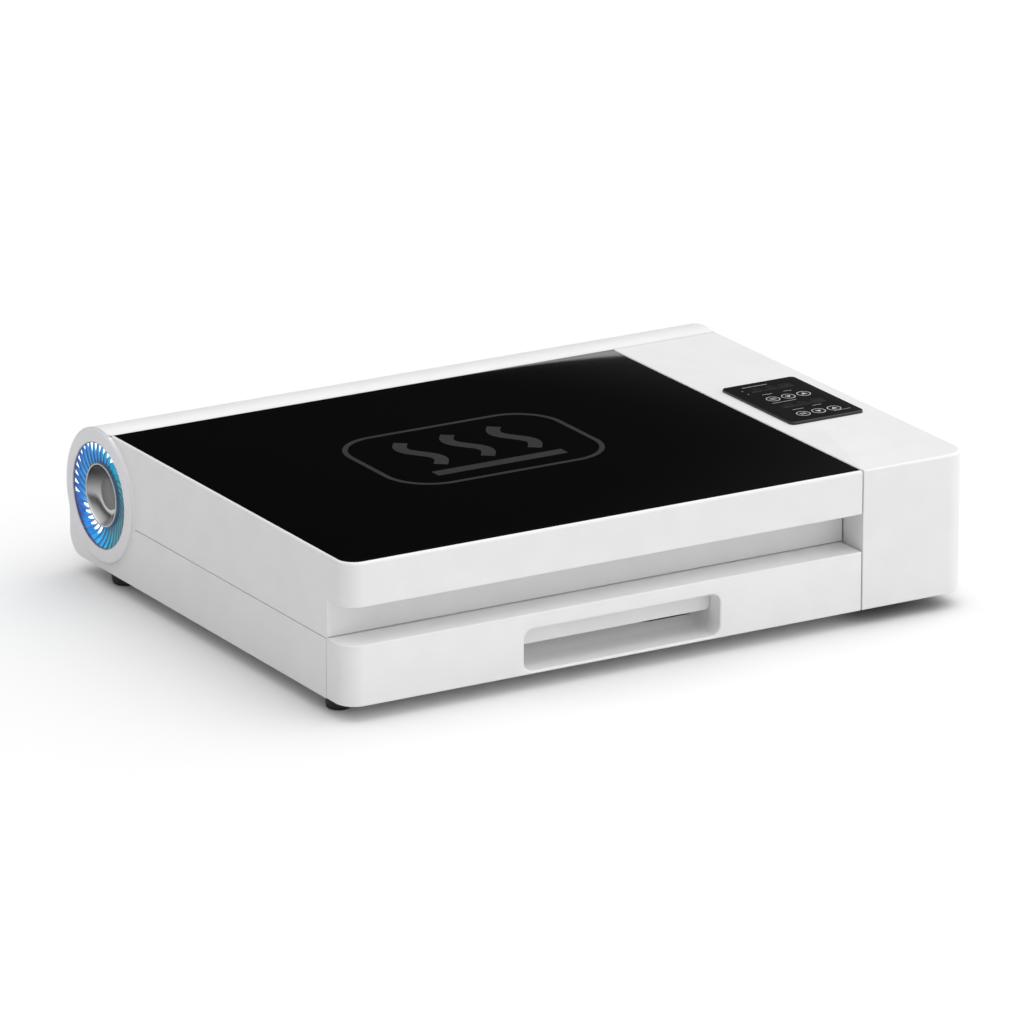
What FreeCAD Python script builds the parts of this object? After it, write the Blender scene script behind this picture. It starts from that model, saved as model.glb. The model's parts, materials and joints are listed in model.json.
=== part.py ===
import FreeCAD, Part
import math
import os
import re
import Sketcher
from FreeCAD import Placement, Rotation, Vector

# Desktop drawer oven: a flat heated casing with a black glass top, a drawer that slides out of
# the front, a control column at the right and a fume duct with a lit fan end along the back.
# Millimetres. Pieces are drawn with x from the casing's left side, y from its front face and
# z from its underside; the placement at the end moves them to the frame of the whole object:
# +X right, front faces -Y, +Z up, origin at the middle of the footprint on the table.

doc = FreeCAD.newDocument("DrawerOven")
sheet = doc.addObject("Spreadsheet::Sheet", "Sizes")

driving = {
    # casing
    "bodyWidth": 650, "bodyDepth": 516, "bodyHeight": 132.7, "wall": 2.6, "columnWidth": 113.9,
    "partingGap": 1.3, "seamGap": 0.6, "seamHeight": 55.6, "cornerRadius": 19, "columnRadius": 22,
    "topRound": 2.8, "edgeRound": 1.2, "rearRound": 20,
    # slot under the front overhang, drawer front and finger pull
    "slotDepth": 33.4, "slotHeight": 35, "drawerRise": 0.8, "drawerFrontDepth": 34.8,
    "pullShift": 15.6, "pullWidth": 204, "pullBottom": 3, "pullHeight": 39, "pullCorner": 9,
    "pullDepth": 31, "barSetback": 18, "barBottom": 22, "cupWall": 2,
    # glass top
    "glassThickness": 4, "glassInset": 3, "backShare": 1.29606, "glassCorner": 16, "glassFit": 0.4,
    "glassEdge": 0.4,
    "shelfWidth": 12, "shelfThickness": 3, "gasketWidth": 8, "gasketThickness": 1,
    # fume duct and its fan end
    "crestRise": 1.8, "ringFloor": 7.5, "ringProud": 4, "ringWidth": 13.5, "ductSkin": 6,
    "tubeWall": 2, "tubeStart": 6, "plugInset": 4.8, "plugLength": 8, "fitGap": 0.2,
    "hubRadius": 29.4, "hubFaceRadius": 15.1, "hubDepth": 6, "vaneStart": -2.5, "vaneDepth": 14,
    "vaneCount": 36, "vaneThickness": 1.1, "vaneRim": 1.2, "ledThickness": 3, "impellerGap": 4.5,
    "impellerHub": 20, "impellerStart": 29, "impellerDepth": 18, "bladeCount": 7,
    "bladeChord": 15, "bladeThickness": 1.6, "shaftRadius": 3, "shaftFit": 0.05, "shaftReach": 16,
    "motorRadius": 22, "motorDepth": 34, "frameDepth": 12, "spokeWidth": 4,
    "filterStart": 150, "filterBore": 20, "fumeSlotLength": 110, "fumeSlotHeight": 16,
    "fumeSlotSetback": 140,
    # heated chamber
    "chamberInset": 16, "chamberFront": 42, "chamberGap": 9, "linerDrop": 29.7,
    "sheetThickness": 1, "insulationThickness": 20, "heaterRadius": 5, "heaterDrop": 15,
    "heaterCount": 4, "heaterPitch": 84, "holderWidth": 8, "holderHeight": 20, "holderReach": 12,
    "shieldHeight": 11, "shieldThickness": 1.2, "shieldInset": 4, "probeRadius": 2,
    "probeDrop": 6.5, "probeReach": 60, "collarWidth": 3,
    # drawer and slides
    "railBottom": 14, "railHeight": 35, "railMetal": 1.2, "railStart": 40, "railFlange": 9,
    "railPlay": 0.4, "slideWidth": 12.2, "trayBottom": 22, "trayTop": 52,
    "trayWall": 1.2, "rackHeight": 32, "rackWire": 1.2, "rackFrame": 2, "rackWireCount": 17, "braceDrop": 1.7,
    "rackGap": 5, "screwRadius": 1.5, "screwHeadRadius": 3.2, "screwHead": 2, "screwFit": 0.1,
    "screwDrop": 12, "bossRadius": 4, "bossDepth": 9, "casingScrewInset": 40,
    # control panel
    "panelInset": 16.4, "panelWidth": 79.3, "panelFront": 146.9, "panelLength": 123.5,
    "panelThickness": 2.6, "panelCorner": 5, "panelBevel": 0.8, "keyRadius": 6.9, "keyPlay": 0.3,
    "keyPitch": 16.7, "keyInset": 24.3, "keyRowFront": 18.9, "keyRowRear": 70.9, "keyProud": 0.2,
    "keyTravel": 0.5, "displayInset": 18.2, "displayWidth": 46.2, "displayLength": 12,
    "timerRow": 102.7, "temperatureRow": 48.1, "lightRadius": 1, "panelLip": 4, "boardThickness": 1.6,
    "keyFlange": 1, "keyRoot": 1.6, "keyUnder": 1, "domeRadius": 2.5, "domeSink": 0.5,
    "domeGap": 0.15, "lightInset": 12.3, "lightAboveTimer": 2.4, "lightBelowTimer": 8,
    "timeLightShift": 5, "pairLightShift": 28.4, "timeLightRow": 15, "heatLightRow": 17,
    # electronics and mains entry
    "inletInset": 45, "inletWidth": 28, "inletHeight": 20, "inletDepth": 26, "inletWell": 18,
    "inletBlade": 15, "inletBladeWidth": 2, "inletBladeHeight": 5, "switchInset": 88,
    "switchWidth": 26, "switchHeight": 19, "switchDepth": 20, "switchWell": 12, "socketWall": 2,
    "mainsHeight": 32, "rockerAngle": 10, "rockerSetback": 5.5, "rockerPlay": 2.5,
    "rockerThickness": 6, "rockerEnd": 3.2, "rockerPivot": 2.6,
    "bayInset": 8, "boardFront": 60, "boardLength": 140, "boardHeight": 14, "postRadius": 3,
    "postInset": 6, "solderSink": 0.2, "coilInset": 12, "coilFront": 80, "coilWidth": 34,
    "coilLength": 28, "coilTop": 40, "sinkInset": 12, "sinkWidth": 14, "sinkFront": 90,
    "sinkLength": 70, "sinkTop": 44, "capRadius": 7, "capInset": 22, "capFront": 130,
    "capPitch": 20, "capTop": 36, "supplyFront": 230, "supplyLength": 110, "supplyTop": 44,
    "relayInset": 14, "relayWidth": 58, "relayGap": 4, "relayLength": 45, "relayTop": 26,
    # side vents
    "ventCount": 8, "ventPitch": 14, "ventWidth": 5, "ventSetback": 60, "ventBottom": 20,
    "ventTop": 48, "ventRound": 2.4,
    # feet
    "footHeight": 15.5, "footRadius": 11.5, "footTopRadius": 13.5, "footRound": 2.5,
    "footLeftInset": 20.4, "footRightInset": 43, "footFront": 49.5, "footBack": 68,
}
derived = {
    "columnLeft": "bodyWidth - columnWidth",
    "hoodRight": "columnLeft - partingGap",
    "hoodBottom": "seamHeight + seamGap / 2",
    "baseTop": "seamHeight - seamGap / 2",
    "baseFront": "drawerFrontDepth + seamGap",
    "drawerTop": "seamHeight + drawerRise",
    "slotWallBottom": "drawerTop + seamGap",
    "slotTop": "drawerTop + slotHeight",
    "ductRadius": "(bodyHeight + crestRise - ringFloor) / 2",
    "glassRear": "bodyDepth - backShare * ductRadius",
    "rearFront": "glassRear + seamGap / 2",
    "relayFront": "rearFront - relayGap - relayLength",
    "ductAxisHeight": "ductRadius + ringFloor",
    "ductAxisY": "bodyDepth - ductRadius",
    "mouthRadius": "ductRadius - ringWidth",
    "tubeRadius": "ductRadius - ductSkin",
    "tubeEnd": "hoodRight - plugInset",
    "glassUnder": "bodyHeight - glassThickness",
    "shelfUnder": "glassUnder - shelfThickness",
    "tubeBore": "tubeRadius - tubeWall",
    "vaneStop": "vaneStart + vaneDepth",
    "ledStart": "vaneStop + 5.3",
    "bladeTip": "tubeBore - impellerGap",
    "fumeSlotStart": "tubeEnd - fumeSlotSetback",
    "filterEnd": "fumeSlotStart - 2 * rearRound",
    "chamberRear": "ductAxisY - tubeRadius - chamberGap",
    "linerBottom": "slotWallBottom + sheetThickness",
    "linerTop": "bodyHeight - linerDrop",
    "fumeSlotLevel": "linerBottom + fumeSlotHeight",
    "heaterHeight": "linerTop - heaterDrop",
    "probeHeight": "linerTop - probeDrop",
    "trayRear": "chamberRear - 6",
    "trayLeft": "wall + slideWidth",
    "trayRight": "hoodRight - wall - slideWidth",
    "chamberRight": "hoodRight - chamberInset",
    "pullLeft": "(hoodRight - pullWidth) / 2 + pullShift",
    "pullRight": "pullLeft + pullWidth",
    "pullTop": "pullBottom + pullHeight",
    "panelLeft": "columnLeft + panelInset",
    "panelTop": "bodyHeight + panelThickness",
    "panelRight": "panelLeft + panelWidth",
    "panelRear": "panelFront + panelLength",
    "motorStart": "impellerStart + impellerDepth + 2",
    "boardTop": "bodyHeight - wall - panelLip",
    "inletCentre": "bodyWidth - inletInset",
    "switchCentre": "bodyWidth - switchInset",
    "footRear": "bodyDepth - footBack",
    "originX": "(bodyWidth - ringProud) / 2",
    "originY": "bodyDepth / 2",
}
for row, (name, value) in enumerate(list(driving.items()) + list(derived.items()), start=1):
    sheet.set(f"A{row}", name)
    sheet.set(f"B{row}", str(value) if name in driving else "=" + value)
    sheet.setAlias(f"B{row}", name)
doc.recompute()

WORD = re.compile(r"[A-Za-z]\w*")
ROLES = {"XY": "XY_Plane", "XZ": "XZ_Plane", "YZ": "YZ_Plane"}
TURN_TO_X = Rotation(Vector(0, 1, 0), 90)
TURN_TO_Y = Rotation(Vector(1, 0, 0), -90)
pieces = []


def scoped(expression):
    """An expression in the sheet's words, written so that any object can read it."""
    known = lambda word: word[0] in driving or word[0] in derived
    return WORD.sub(lambda word: "Sizes." + word[0] if known(word) else word[0], str(expression))


def size(expression):
    return float(sheet.evalExpression(str(expression)))


def bind(thing, prop, expression):
    thing.setExpression(prop, scoped(expression))


def finish(thing, label, lift="0"):
    """Names a sub-part and moves it to the frame of the whole object."""
    thing.Label = label
    bind(thing, "Placement.Base.x", "-originX")
    bind(thing, "Placement.Base.y", "-originY")
    bind(thing, "Placement.Base.z", f"footHeight + {lift}")
    pieces.append(thing)
    return thing


# ---- Part primitives -------------------------------------------------------------------------

def block(x, y, z):
    """A box between a low and a high value on each axis."""
    box = doc.addObject("Part::Box", "block")
    for prop, axis, (low, high) in (("Length", "x", x), ("Width", "y", y), ("Height", "z", z)):
        bind(box, prop, f"({high}) - ({low})")
        bind(box, "Placement.Base." + axis, low)
    return box


def rod(axis, radius, span, centre):
    """A cylinder along one axis, from the low to the high value of span."""
    cylinder = doc.addObject("Part::Cylinder", "rod")
    turns = {"x": TURN_TO_X, "y": TURN_TO_Y, "z": Rotation()}
    cylinder.Placement = Placement(Vector(), turns[axis])
    bind(cylinder, "Radius", radius)
    bind(cylinder, "Height", f"({span[1]}) - ({span[0]})")
    bind(cylinder, "Placement.Base." + axis, span[0])
    for other, value in zip("xyz".replace(axis, ""), centre):
        bind(cylinder, "Placement.Base." + other, value)
    return cylinder


def fuse(*shapes):
    if len(shapes) == 1:
        return shapes[0]
    union = doc.addObject("Part::MultiFuse", "union")
    union.Shapes = list(shapes)
    union.Refine = True
    return union


def cut(base, *tools):
    difference = doc.addObject("Part::Cut", "difference")
    difference.Base = base
    difference.Tool = fuse(*tools)
    return difference


def common(first, second):
    overlap = doc.addObject("Part::Common", "overlap")
    overlap.Base = first
    overlap.Tool = second
    return overlap


def group(*solids):
    compound = doc.addObject("Part::Compound", "group")
    compound.Links = list(solids)
    return compound


def duct(axis_radius, span):
    """A cylinder on the fume duct's axis."""
    return rod("x", axis_radius, span, ("ductAxisY", "ductAxisHeight"))


# ---- PartDesign bodies -----------------------------------------------------------------------

def new_body(name):
    return doc.addObject("PartDesign::Body", name)


def new_sketch(body, plane, offset):
    sketch = body.newObject("Sketcher::SketchObject", "outline")
    origin_plane = [f for f in body.Origin.OriginFeatures if f.Role == ROLES[plane]][0]
    sketch.AttachmentSupport = [(origin_plane, "")]
    sketch.MapMode = "FlatFace"
    bind(sketch, "AttachmentOffset.Base.z", f"-({offset})" if plane == "XZ" else offset)
    return sketch


def pin(sketch, kind, geometry, point, expression):
    """Holds a point's distance from the sketch's origin at an expression."""
    start = sketch.getPoint(geometry, point)
    value = start.x if kind == "DistanceX" else start.y
    index = sketch.addConstraint(Sketcher.Constraint(kind, -1, 1, geometry, point, value))
    bind(sketch, f"Constraints[{index}]", expression)


def draw_outline(sketch, corners, rounds):
    """Draws level and upright edges through the corners; rounds gives some corners a radius."""
    count = len(corners)
    points = [Vector(size(u), size(v), 0) for u, v in corners]
    steps = [(points[(i + 1) % count] - points[i]).normalize() for i in range(count)]
    radii = [size(rounds[i]) if i in rounds else 0 for i in range(count)]
    for i in range(count):
        after = (i + 1) % count
        line = Part.LineSegment(points[i] + steps[i] * radii[i], points[after] - steps[i] * radii[after])
        sketch.addGeometry(line, False)
    for i in range(count):
        before = (i - 1) % count
        if i not in rounds:
            sketch.addConstraint(Sketcher.Constraint("Coincident", before, 2, i, 1))
            continue
        centre = points[i] - steps[before] * radii[i] + steps[i] * radii[i]
        left_turn = steps[before].cross(steps[i]).z > 0
        start = points[i] - steps[before] * radii[i] - centre
        stop = points[i] + steps[i] * radii[i] - centre
        if not left_turn:
            start, stop = stop, start
        circle = Part.Circle(centre, Vector(0, 0, 1), radii[i])
        first, last = math.atan2(start.y, start.x), math.atan2(stop.y, stop.x)
        arc = sketch.addGeometry(Part.ArcOfCircle(circle, first, last), False)
        near, far = (1, 2) if left_turn else (2, 1)
        sketch.addConstraint(Sketcher.Constraint("Tangent", before, 2, arc, near))
        sketch.addConstraint(Sketcher.Constraint("Tangent", arc, far, i, 1))
        index = sketch.addConstraint(Sketcher.Constraint("Radius", arc, radii[i]))
        bind(sketch, f"Constraints[{index}]", rounds[i])
    for i, step in enumerate(steps):
        level = abs(step.x) > abs(step.y)
        sketch.addConstraint(Sketcher.Constraint("Horizontal" if level else "Vertical", i))
        pin(sketch, "DistanceY" if level else "DistanceX", i, 1, corners[i][1] if level else corners[i][0])


def draw_circles(sketch, centres, radius):
    for u, v in centres:
        circle = Part.Circle(Vector(size(u), size(v), 0), Vector(0, 0, 1), size(radius))
        index = sketch.addGeometry(circle, False)
        pin(sketch, "DistanceX", index, 3, u)
        pin(sketch, "DistanceY", index, 3, v)
        held = sketch.addConstraint(Sketcher.Constraint("Radius", index, size(radius)))
        bind(sketch, f"Constraints[{held}]", radius)


def prism(body, kind, plane, span, corners=None, rounds=None, circles=None, radius=None):
    """Pads or pockets an outline from the low to the high value of span, along the plane's axis."""
    sketch = new_sketch(body, plane, span[0])
    if circles:
        draw_circles(sketch, circles, radius)
    else:
        draw_outline(sketch, corners, rounds or {})
    feature = body.newObject("PartDesign::" + kind, kind)
    feature.Profile = sketch
    bind(feature, "Length", f"({span[1]}) - ({span[0]})")
    feature.Reversed = (plane == "XZ") == (kind == "Pad")
    sketch.Visibility = False
    return feature


def rectangle(u, v):
    return [(u[0], v[0]), (u[1], v[0]), (u[1], v[1]), (u[0], v[1])]


def soften(body, radius, chosen, kind="Fillet"):
    """Rounds or bevels the edges of the body's last feature that the test chooses."""
    doc.recompute()
    edges = body.Tip.Shape.Edges
    names = [f"Edge{i + 1}" for i, edge in enumerate(edges) if chosen(edge)]
    base = body.Tip
    feature = body.newObject("PartDesign::" + kind, kind)
    feature.Base = (base, names)
    bind(feature, "Radius" if kind == "Fillet" else "Size", radius)
    return feature


def lies_at(edge, **places):
    """True where every point of the edge has the given coordinates."""
    box = edge.BoundBox
    for axis, place in places.items():
        low, high = getattr(box, axis.upper() + "Min"), getattr(box, axis.upper() + "Max")
        if abs(low - size(place)) > 0.01 or abs(high - size(place)) > 0.01:
            return False
    return True


# ---- casing shells ---------------------------------------------------------------------------

def base_pan():
    body = new_body("BasePan")
    side = [("baseFront", "0"), ("bodyDepth", "0"), ("bodyDepth", "baseTop"), ("baseFront", "baseTop")]
    prism(body, "Pad", "YZ", ("0", "bodyWidth"), side, {1: "rearRound"})
    prism(body, "Pocket", "XY", ("-1", "baseTop + 1"),
          rectangle(("hoodRight", "bodyWidth + 1"), ("baseFront - 1", "rearFront")))
    inside = [("baseFront - 1", "wall"), ("bodyDepth - wall", "wall"),
              ("bodyDepth - wall", "baseTop + 1"), ("baseFront - 1", "baseTop + 1")]
    prism(body, "Pocket", "YZ", ("wall", "hoodRight - wall"), inside, {1: "rearRound - wall"})
    behind = [("rearFront + wall", "wall")] + inside[1:3] + [("rearFront + wall", "baseTop + 1")]
    prism(body, "Pocket", "YZ", ("hoodRight - wall - 1", "bodyWidth - wall"), behind,
          {1: "rearRound - wall"})
    inset = "wall + seamGap"
    column_floor = [("hoodRight - wall", "baseFront"), ("columnLeft", "baseFront"), ("columnLeft", inset),
                    (f"bodyWidth - ({inset})", inset), (f"bodyWidth - ({inset})", "rearFront + wall"),
                    ("hoodRight - wall", "rearFront + wall")]
    prism(body, "Pad", "XY", ("0", "wall"), column_floor, {3: f"columnRadius - ({inset})"})
    prism(body, "Pocket", "YZ", ("-1", "wall + 1"), circles=[("ductAxisY", "ductAxisHeight")],
          radius="tubeRadius + fitGap")
    for centre, width, height in (("inletCentre", "inletWidth", "inletHeight"),
                                  ("switchCentre", "switchWidth", "switchHeight")):
        prism(body, "Pocket", "XZ", ("bodyDepth - wall - 1", "bodyDepth + 1"),
              rectangle((f"{centre} - {width} / 2", f"{centre} + {width} / 2"),
                        (f"mainsHeight - {height} / 2", f"mainsHeight + {height} / 2")))
    prism(body, "Pocket", "XY", ("-1", "wall + 1"), circles=screw_places(), radius="screwRadius + screwFit")
    finish(body, "base_pan")


def screw_places():
    """Centres of the screws that close the casing from below."""
    xs = ("footLeftInset + casingScrewInset", "hoodRight / 2", "hoodRight - casingScrewInset")
    under_chamber = [(x, y) for x in xs
                     for y in ("chamberFront + casingScrewInset", "chamberRear - casingScrewInset")]
    beside_supply = [("bodyWidth - columnWidth / 3", y)
                     for y in ("supplyFront - casingScrewInset / 4", "supplyFront + supplyLength + bayInset")]
    return under_chamber + beside_supply


def hood_shell():
    body = new_body("HoodShell")
    prism(body, "Pad", "XY", ("slotTop", "bodyHeight"),
          rectangle(("0", "hoodRight"), ("0", "glassRear")), {0: "cornerRadius"})
    reach = size("cornerRadius")
    soften(body, "topRound", lambda e: lies_at(e, z="bodyHeight")
           and (e.CenterOfMass.x < reach or e.CenterOfMass.y < reach))
    soften(body, "edgeRound", lambda e: lies_at(e, z="slotTop")
           and (e.CenterOfMass.x < reach or e.CenterOfMass.y < reach)
           and e.CenterOfMass.y < size("slotDepth"))
    prism(body, "Pad", "XY", ("hoodBottom", "slotTop + edgeRound"),
          rectangle(("0", "hoodRight"), ("slotDepth", "glassRear")))
    inner = {0: "cornerRadius - wall"}
    prism(body, "Pocket", "XY", ("slotTop + wall", "shelfUnder"),
          rectangle(("wall", "hoodRight - wall"), ("wall", "glassRear + 1")), inner)
    prism(body, "Pocket", "XY", ("hoodBottom - 1", "slotTop + wall + 1"),
          rectangle(("wall", "hoodRight - wall"), ("slotDepth + wall", "glassRear + 1")))
    prism(body, "Pocket", "XY", ("shelfUnder - 1", "glassUnder + 1"),
          rectangle(("wall + shelfWidth", "hoodRight - wall - shelfWidth"),
                    ("wall + shelfWidth", "glassRear - shelfWidth")), inner)
    prism(body, "Pocket", "XY", ("glassUnder", "bodyHeight + 1"),
          rectangle(("glassInset", "hoodRight + 1"), ("glassInset", "glassRear + 1")),
          {0: "glassCorner"})
    for start, rear in (("-1", "baseFront"), ("wall", "slotDepth + wall + 1")):
        prism(body, "Pocket", "XY", ("hoodBottom - 1", "slotWallBottom"),
              rectangle((start, "hoodRight + 1"), ("slotDepth - 1", rear)))
    prism(body, "Pocket", "YZ", ("-1", "wall + 1"), circles=[("ductAxisY", "ductAxisHeight")],
          radius="tubeRadius + fitGap")
    finish(body, "hood_shell")


def column_shell():
    body = new_body("ColumnShell")
    prism(body, "Pad", "XY", ("0", "bodyHeight"),
          rectangle(("columnLeft", "bodyWidth"), ("0", "glassRear")), {1: "columnRadius"})
    far = size("bodyWidth - columnRadius")
    near = size("columnRadius")
    for height, radius in (("bodyHeight", "topRound"), ("0", "edgeRound")):
        soften(body, radius, lambda e: lies_at(e, z=height)
               and (e.CenterOfMass.x > far or e.CenterOfMass.y < near))
    prism(body, "Pocket", "XY", ("-1", "bodyHeight - wall"),
          rectangle(("columnLeft + wall", "bodyWidth - wall"), ("wall", "glassRear + 1")),
          {1: "columnRadius - wall"})
    prism(body, "Pocket", "XY", ("-1", "wall + seamGap"),
          rectangle(("columnLeft - 1", "columnLeft + wall + 1"), ("wall", "glassRear + 1")))
    prism(body, "Pocket", "XY", ("bodyHeight - wall - 1", "bodyHeight + 1"),
          rectangle(("panelLeft + panelLip", "panelRight - panelLip"),
                    ("panelFront + panelLip", "panelRear - panelLip")))
    for i in range(int(size("ventCount"))):
        start = f"glassRear - ventSetback - {i} * ventPitch"
        prism(body, "Pocket", "YZ", ("bodyWidth - wall - 1", "bodyWidth + 1"),
              rectangle((start, f"{start} + ventWidth"), ("ventBottom", "ventTop")),
              {k: "ventRound" for k in range(4)})
    finish(body, "column_shell")


def duct_shell():
    beyond = "bodyDepth + 1"

    def profile(inset, start, stop, front, floor):
        """The space under the back's round crest, shrunk by inset."""
        round_part = duct(f"ductRadius - {inset}", (start, stop))
        low = block((start, stop), (front, f"bodyDepth - {inset}"), (floor, "ductAxisHeight"))
        top = block((start, stop), (front, "ductAxisY"), (floor, f"bodyHeight - {inset}"))
        window = block((start, stop), (front, beyond), (floor, "bodyHeight + ductRadius"))
        return common(fuse(round_part, low, top), window)

    outside = profile("0", "0", "bodyWidth", "rearFront", "hoodBottom")
    inside = profile("wall", "-1", "bodyWidth - wall", "rearFront - 1", "hoodBottom - 1")
    finish(cut(outside, inside), "duct_shell")


# ---- glass top -------------------------------------------------------------------------------

def window_glass():
    body = new_body("WindowGlass")
    prism(body, "Pad", "XY", ("glassUnder", "bodyHeight"),
          rectangle(("glassInset + glassFit", "hoodRight - glassFit"),
                    ("glassInset + glassFit", "glassRear")), {0: "glassCorner - glassFit"})
    soften(body, "glassEdge", lambda e: lies_at(e, z="bodyHeight"))
    finish(body, "window_glass")


def window_gasket():
    body = new_body("WindowGasket")
    edge = "wall + shelfWidth + fitGap"
    prism(body, "Pad", "XY", ("glassUnder - gasketThickness", "glassUnder"),
          rectangle((edge, f"hoodRight - ({edge})"), (edge, "glassRear - shelfWidth - fitGap")),
          {0: "cornerRadius - wall - fitGap"})
    inner = f"{edge} + gasketWidth"
    prism(body, "Pocket", "XY", ("glassUnder - gasketThickness - 1", "glassUnder + 1"),
          rectangle((inner, f"hoodRight - ({inner})"),
                    (inner, "glassRear - shelfWidth - fitGap - gasketWidth")))
    finish(body, "window_gasket")


# ---- fume duct -------------------------------------------------------------------------------

def fan_ring():
    disc = duct("ductRadius", ("-ringProud", "0"))
    flange = duct("tubeBore - fitGap", ("-0.5", "ledStart - 0.3"))
    mouth = duct("mouthRadius", ("-ringProud - 1", "ledStart"))
    ring = cut(fuse(disc, flange), mouth)
    doc.recompute()
    rounded = doc.addObject("Part::Fillet", "ringRounds")
    rounded.Base = ring
    rims = [(i + 1, size("topRound" if edge.Curve.Radius > size("mouthRadius") + 1 else "edgeRound"))
            for i, edge in enumerate(ring.Shape.Edges)
            if lies_at(edge, x="-ringProud") and edge.Curve.TypeId == "Part::GeomCircle"]
    rounded.Edges = [(index, radius, radius) for index, radius in rims]
    finish(rounded, "fan_ring")


def swirl_vanes():
    """A ring of thin blades, swept back towards their tips."""
    start, past = "vaneStart", ("vaneStart - 1", "vaneStop + 1")
    inner = cut(duct("hubRadius + vaneRim", (start, "vaneStop")), duct("hubRadius", past))
    outer = cut(duct("mouthRadius - fitGap", (start, "vaneStop")),
                duct("mouthRadius - fitGap - vaneRim", past))
    low, high = size("hubRadius + vaneRim / 2"), size("mouthRadius - fitGap - vaneRim / 2")
    half = size("vaneThickness") / 2
    middle = Vector(0, size("ductAxisY"), size("ductAxisHeight"))
    sweep = math.radians(26)
    blade = doc.addObject("Part::Feature", "blade")

    def spot(share, offset):
        radius = low + (high - low) * share
        turn = offset / radius - sweep * share ** 1.6
        return middle + Vector(size(start), radius * math.sin(turn), radius * math.cos(turn))

    sides = [[spot(i / 4, offset) for i in range(5)] for offset in (-half, half)]
    curves = []
    for side in sides:
        curve = Part.BSplineCurve()
        curve.interpolate(side)
        curves.append(curve.toShape())
    ends = [Part.makeLine(sides[0][k], sides[1][k]) for k in (0, -1)]
    outline = Part.Wire(Part.__sortEdges__([curves[0], ends[1], curves[1], ends[0]]))
    blade.Shape = Part.Face(outline).extrude(Vector(size("vaneDepth"), 0, 0))
    count = int(size("vaneCount"))
    blades = []
    for i in range(count):
        copy = doc.addObject("Part::Feature", "bladeCopy")
        shape = blade.Shape.copy()
        shape.rotate(middle, Vector(1, 0, 0), 360 * i / count)
        copy.Shape = shape
        blades.append(copy)
    finish(fuse(inner, outer, *blades), "swirl_vanes")


def hub_cone():
    drum = duct("hubRadius - fitGap / 2", ("-1", "vaneStop"))
    dish = doc.addObject("Part::Cone", "dish")
    dish.Placement = Placement(Vector(), TURN_TO_X)
    bind(dish, "Radius1", "hubRadius - 0.8")
    bind(dish, "Radius2", "hubFaceRadius")
    bind(dish, "Height", "hubDepth + 1")
    bind(dish, "Placement.Base.x", "-1")
    bind(dish, "Placement.Base.y", "ductAxisY")
    bind(dish, "Placement.Base.z", "ductAxisHeight")
    finish(cut(drum, dish), "hub_cone")


def led_ring():
    band = duct("tubeBore - fitGap", ("ledStart", "ledStart + ledThickness"))
    hole = duct("mouthRadius - ledThickness", ("ledStart - 1", "ledStart + ledThickness + 1"))
    finish(cut(band, hole), "led_ring")


def fan_impeller():
    stop = "impellerStart + impellerDepth"
    hub = duct("impellerHub", ("impellerStart", stop))
    shaft = duct("shaftRadius", (f"{stop} - 1", f"{stop} + shaftReach"))
    blades = []
    count = int(size("bladeCount"))
    for i in range(count):
        plate = block(("-bladeChord / 2", "bladeChord / 2"), ("-bladeThickness / 2", "bladeThickness / 2"),
                      ("impellerHub - 3", "bladeTip"))
        holder = doc.addObject("Part::Compound", "bladeHolder")
        holder.Links = [plate]
        pitch = Rotation(Vector(0, 0, 1), 38)
        around = Rotation(Vector(1, 0, 0), 360 * i / count)
        holder.Placement = Placement(Vector(), around.multiply(pitch))
        bind(holder, "Placement.Base.x", "impellerStart + impellerDepth / 2")
        bind(holder, "Placement.Base.y", "ductAxisY")
        bind(holder, "Placement.Base.z", "ductAxisHeight")
        blades.append(holder)
    finish(fuse(hub, shaft, *blades), "fan_impeller")


def fan_motor():
    stop = "motorStart + motorDepth"
    case = duct("motorRadius", ("motorStart", stop))
    bore = duct("shaftRadius + shaftFit", ("motorStart - 1", "motorStart + shaftReach"))
    finish(cut(case, bore), "fan_motor")


def fan_frame():
    start = "motorStart + frameDepth / 2"
    span, past = (start, f"{start} + frameDepth"), (f"{start} - 1", f"{start} + frameDepth + 1")
    rim = cut(duct("tubeBore - fitGap", span), duct("bladeTip", past))
    collar = cut(duct("motorRadius + 3", span), duct("motorRadius", past))
    level = block(span, ("ductAxisY - bladeTip - 1", "ductAxisY + bladeTip + 1"),
                  ("ductAxisHeight - spokeWidth / 2", "ductAxisHeight + spokeWidth / 2"))
    upright = block(span, ("ductAxisY - spokeWidth / 2", "ductAxisY + spokeWidth / 2"),
                    ("ductAxisHeight - bladeTip - 1", "ductAxisHeight + bladeTip + 1"))
    spokes = cut(fuse(level, upright), duct("motorRadius + 1", past))
    finish(fuse(rim, collar, spokes), "fan_frame")


def duct_tube():
    outer = duct("tubeRadius", ("tubeStart", "tubeEnd"))
    bore = duct("tubeBore", ("tubeStart - 1", "tubeEnd + 1"))
    slot = block(("fumeSlotStart", "fumeSlotStart + fumeSlotLength"),
                 ("ductAxisY - ductRadius", "ductAxisY - tubeBore / 2"),
                 ("fumeSlotLevel - fumeSlotHeight / 2", "fumeSlotLevel + fumeSlotHeight / 2"))
    finish(cut(outer, bore, slot), "duct_tube")


def filter_cartridge():
    case = duct("tubeBore - fitGap", ("filterStart", "filterEnd"))
    bore = duct("filterBore", ("filterStart - 1", "filterEnd + 1"))
    finish(cut(case, bore), "filter_cartridge")


def duct_end_plug():
    disc = duct("tubeBore - fitGap", ("tubeEnd - plugLength", "tubeEnd"))
    recess = duct("tubeBore - 2 * wall", ("tubeEnd - plugLength + wall", "tubeEnd + 1"))
    finish(cut(disc, recess), "duct_end_plug")


# ---- heated chamber --------------------------------------------------------------------------

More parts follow.
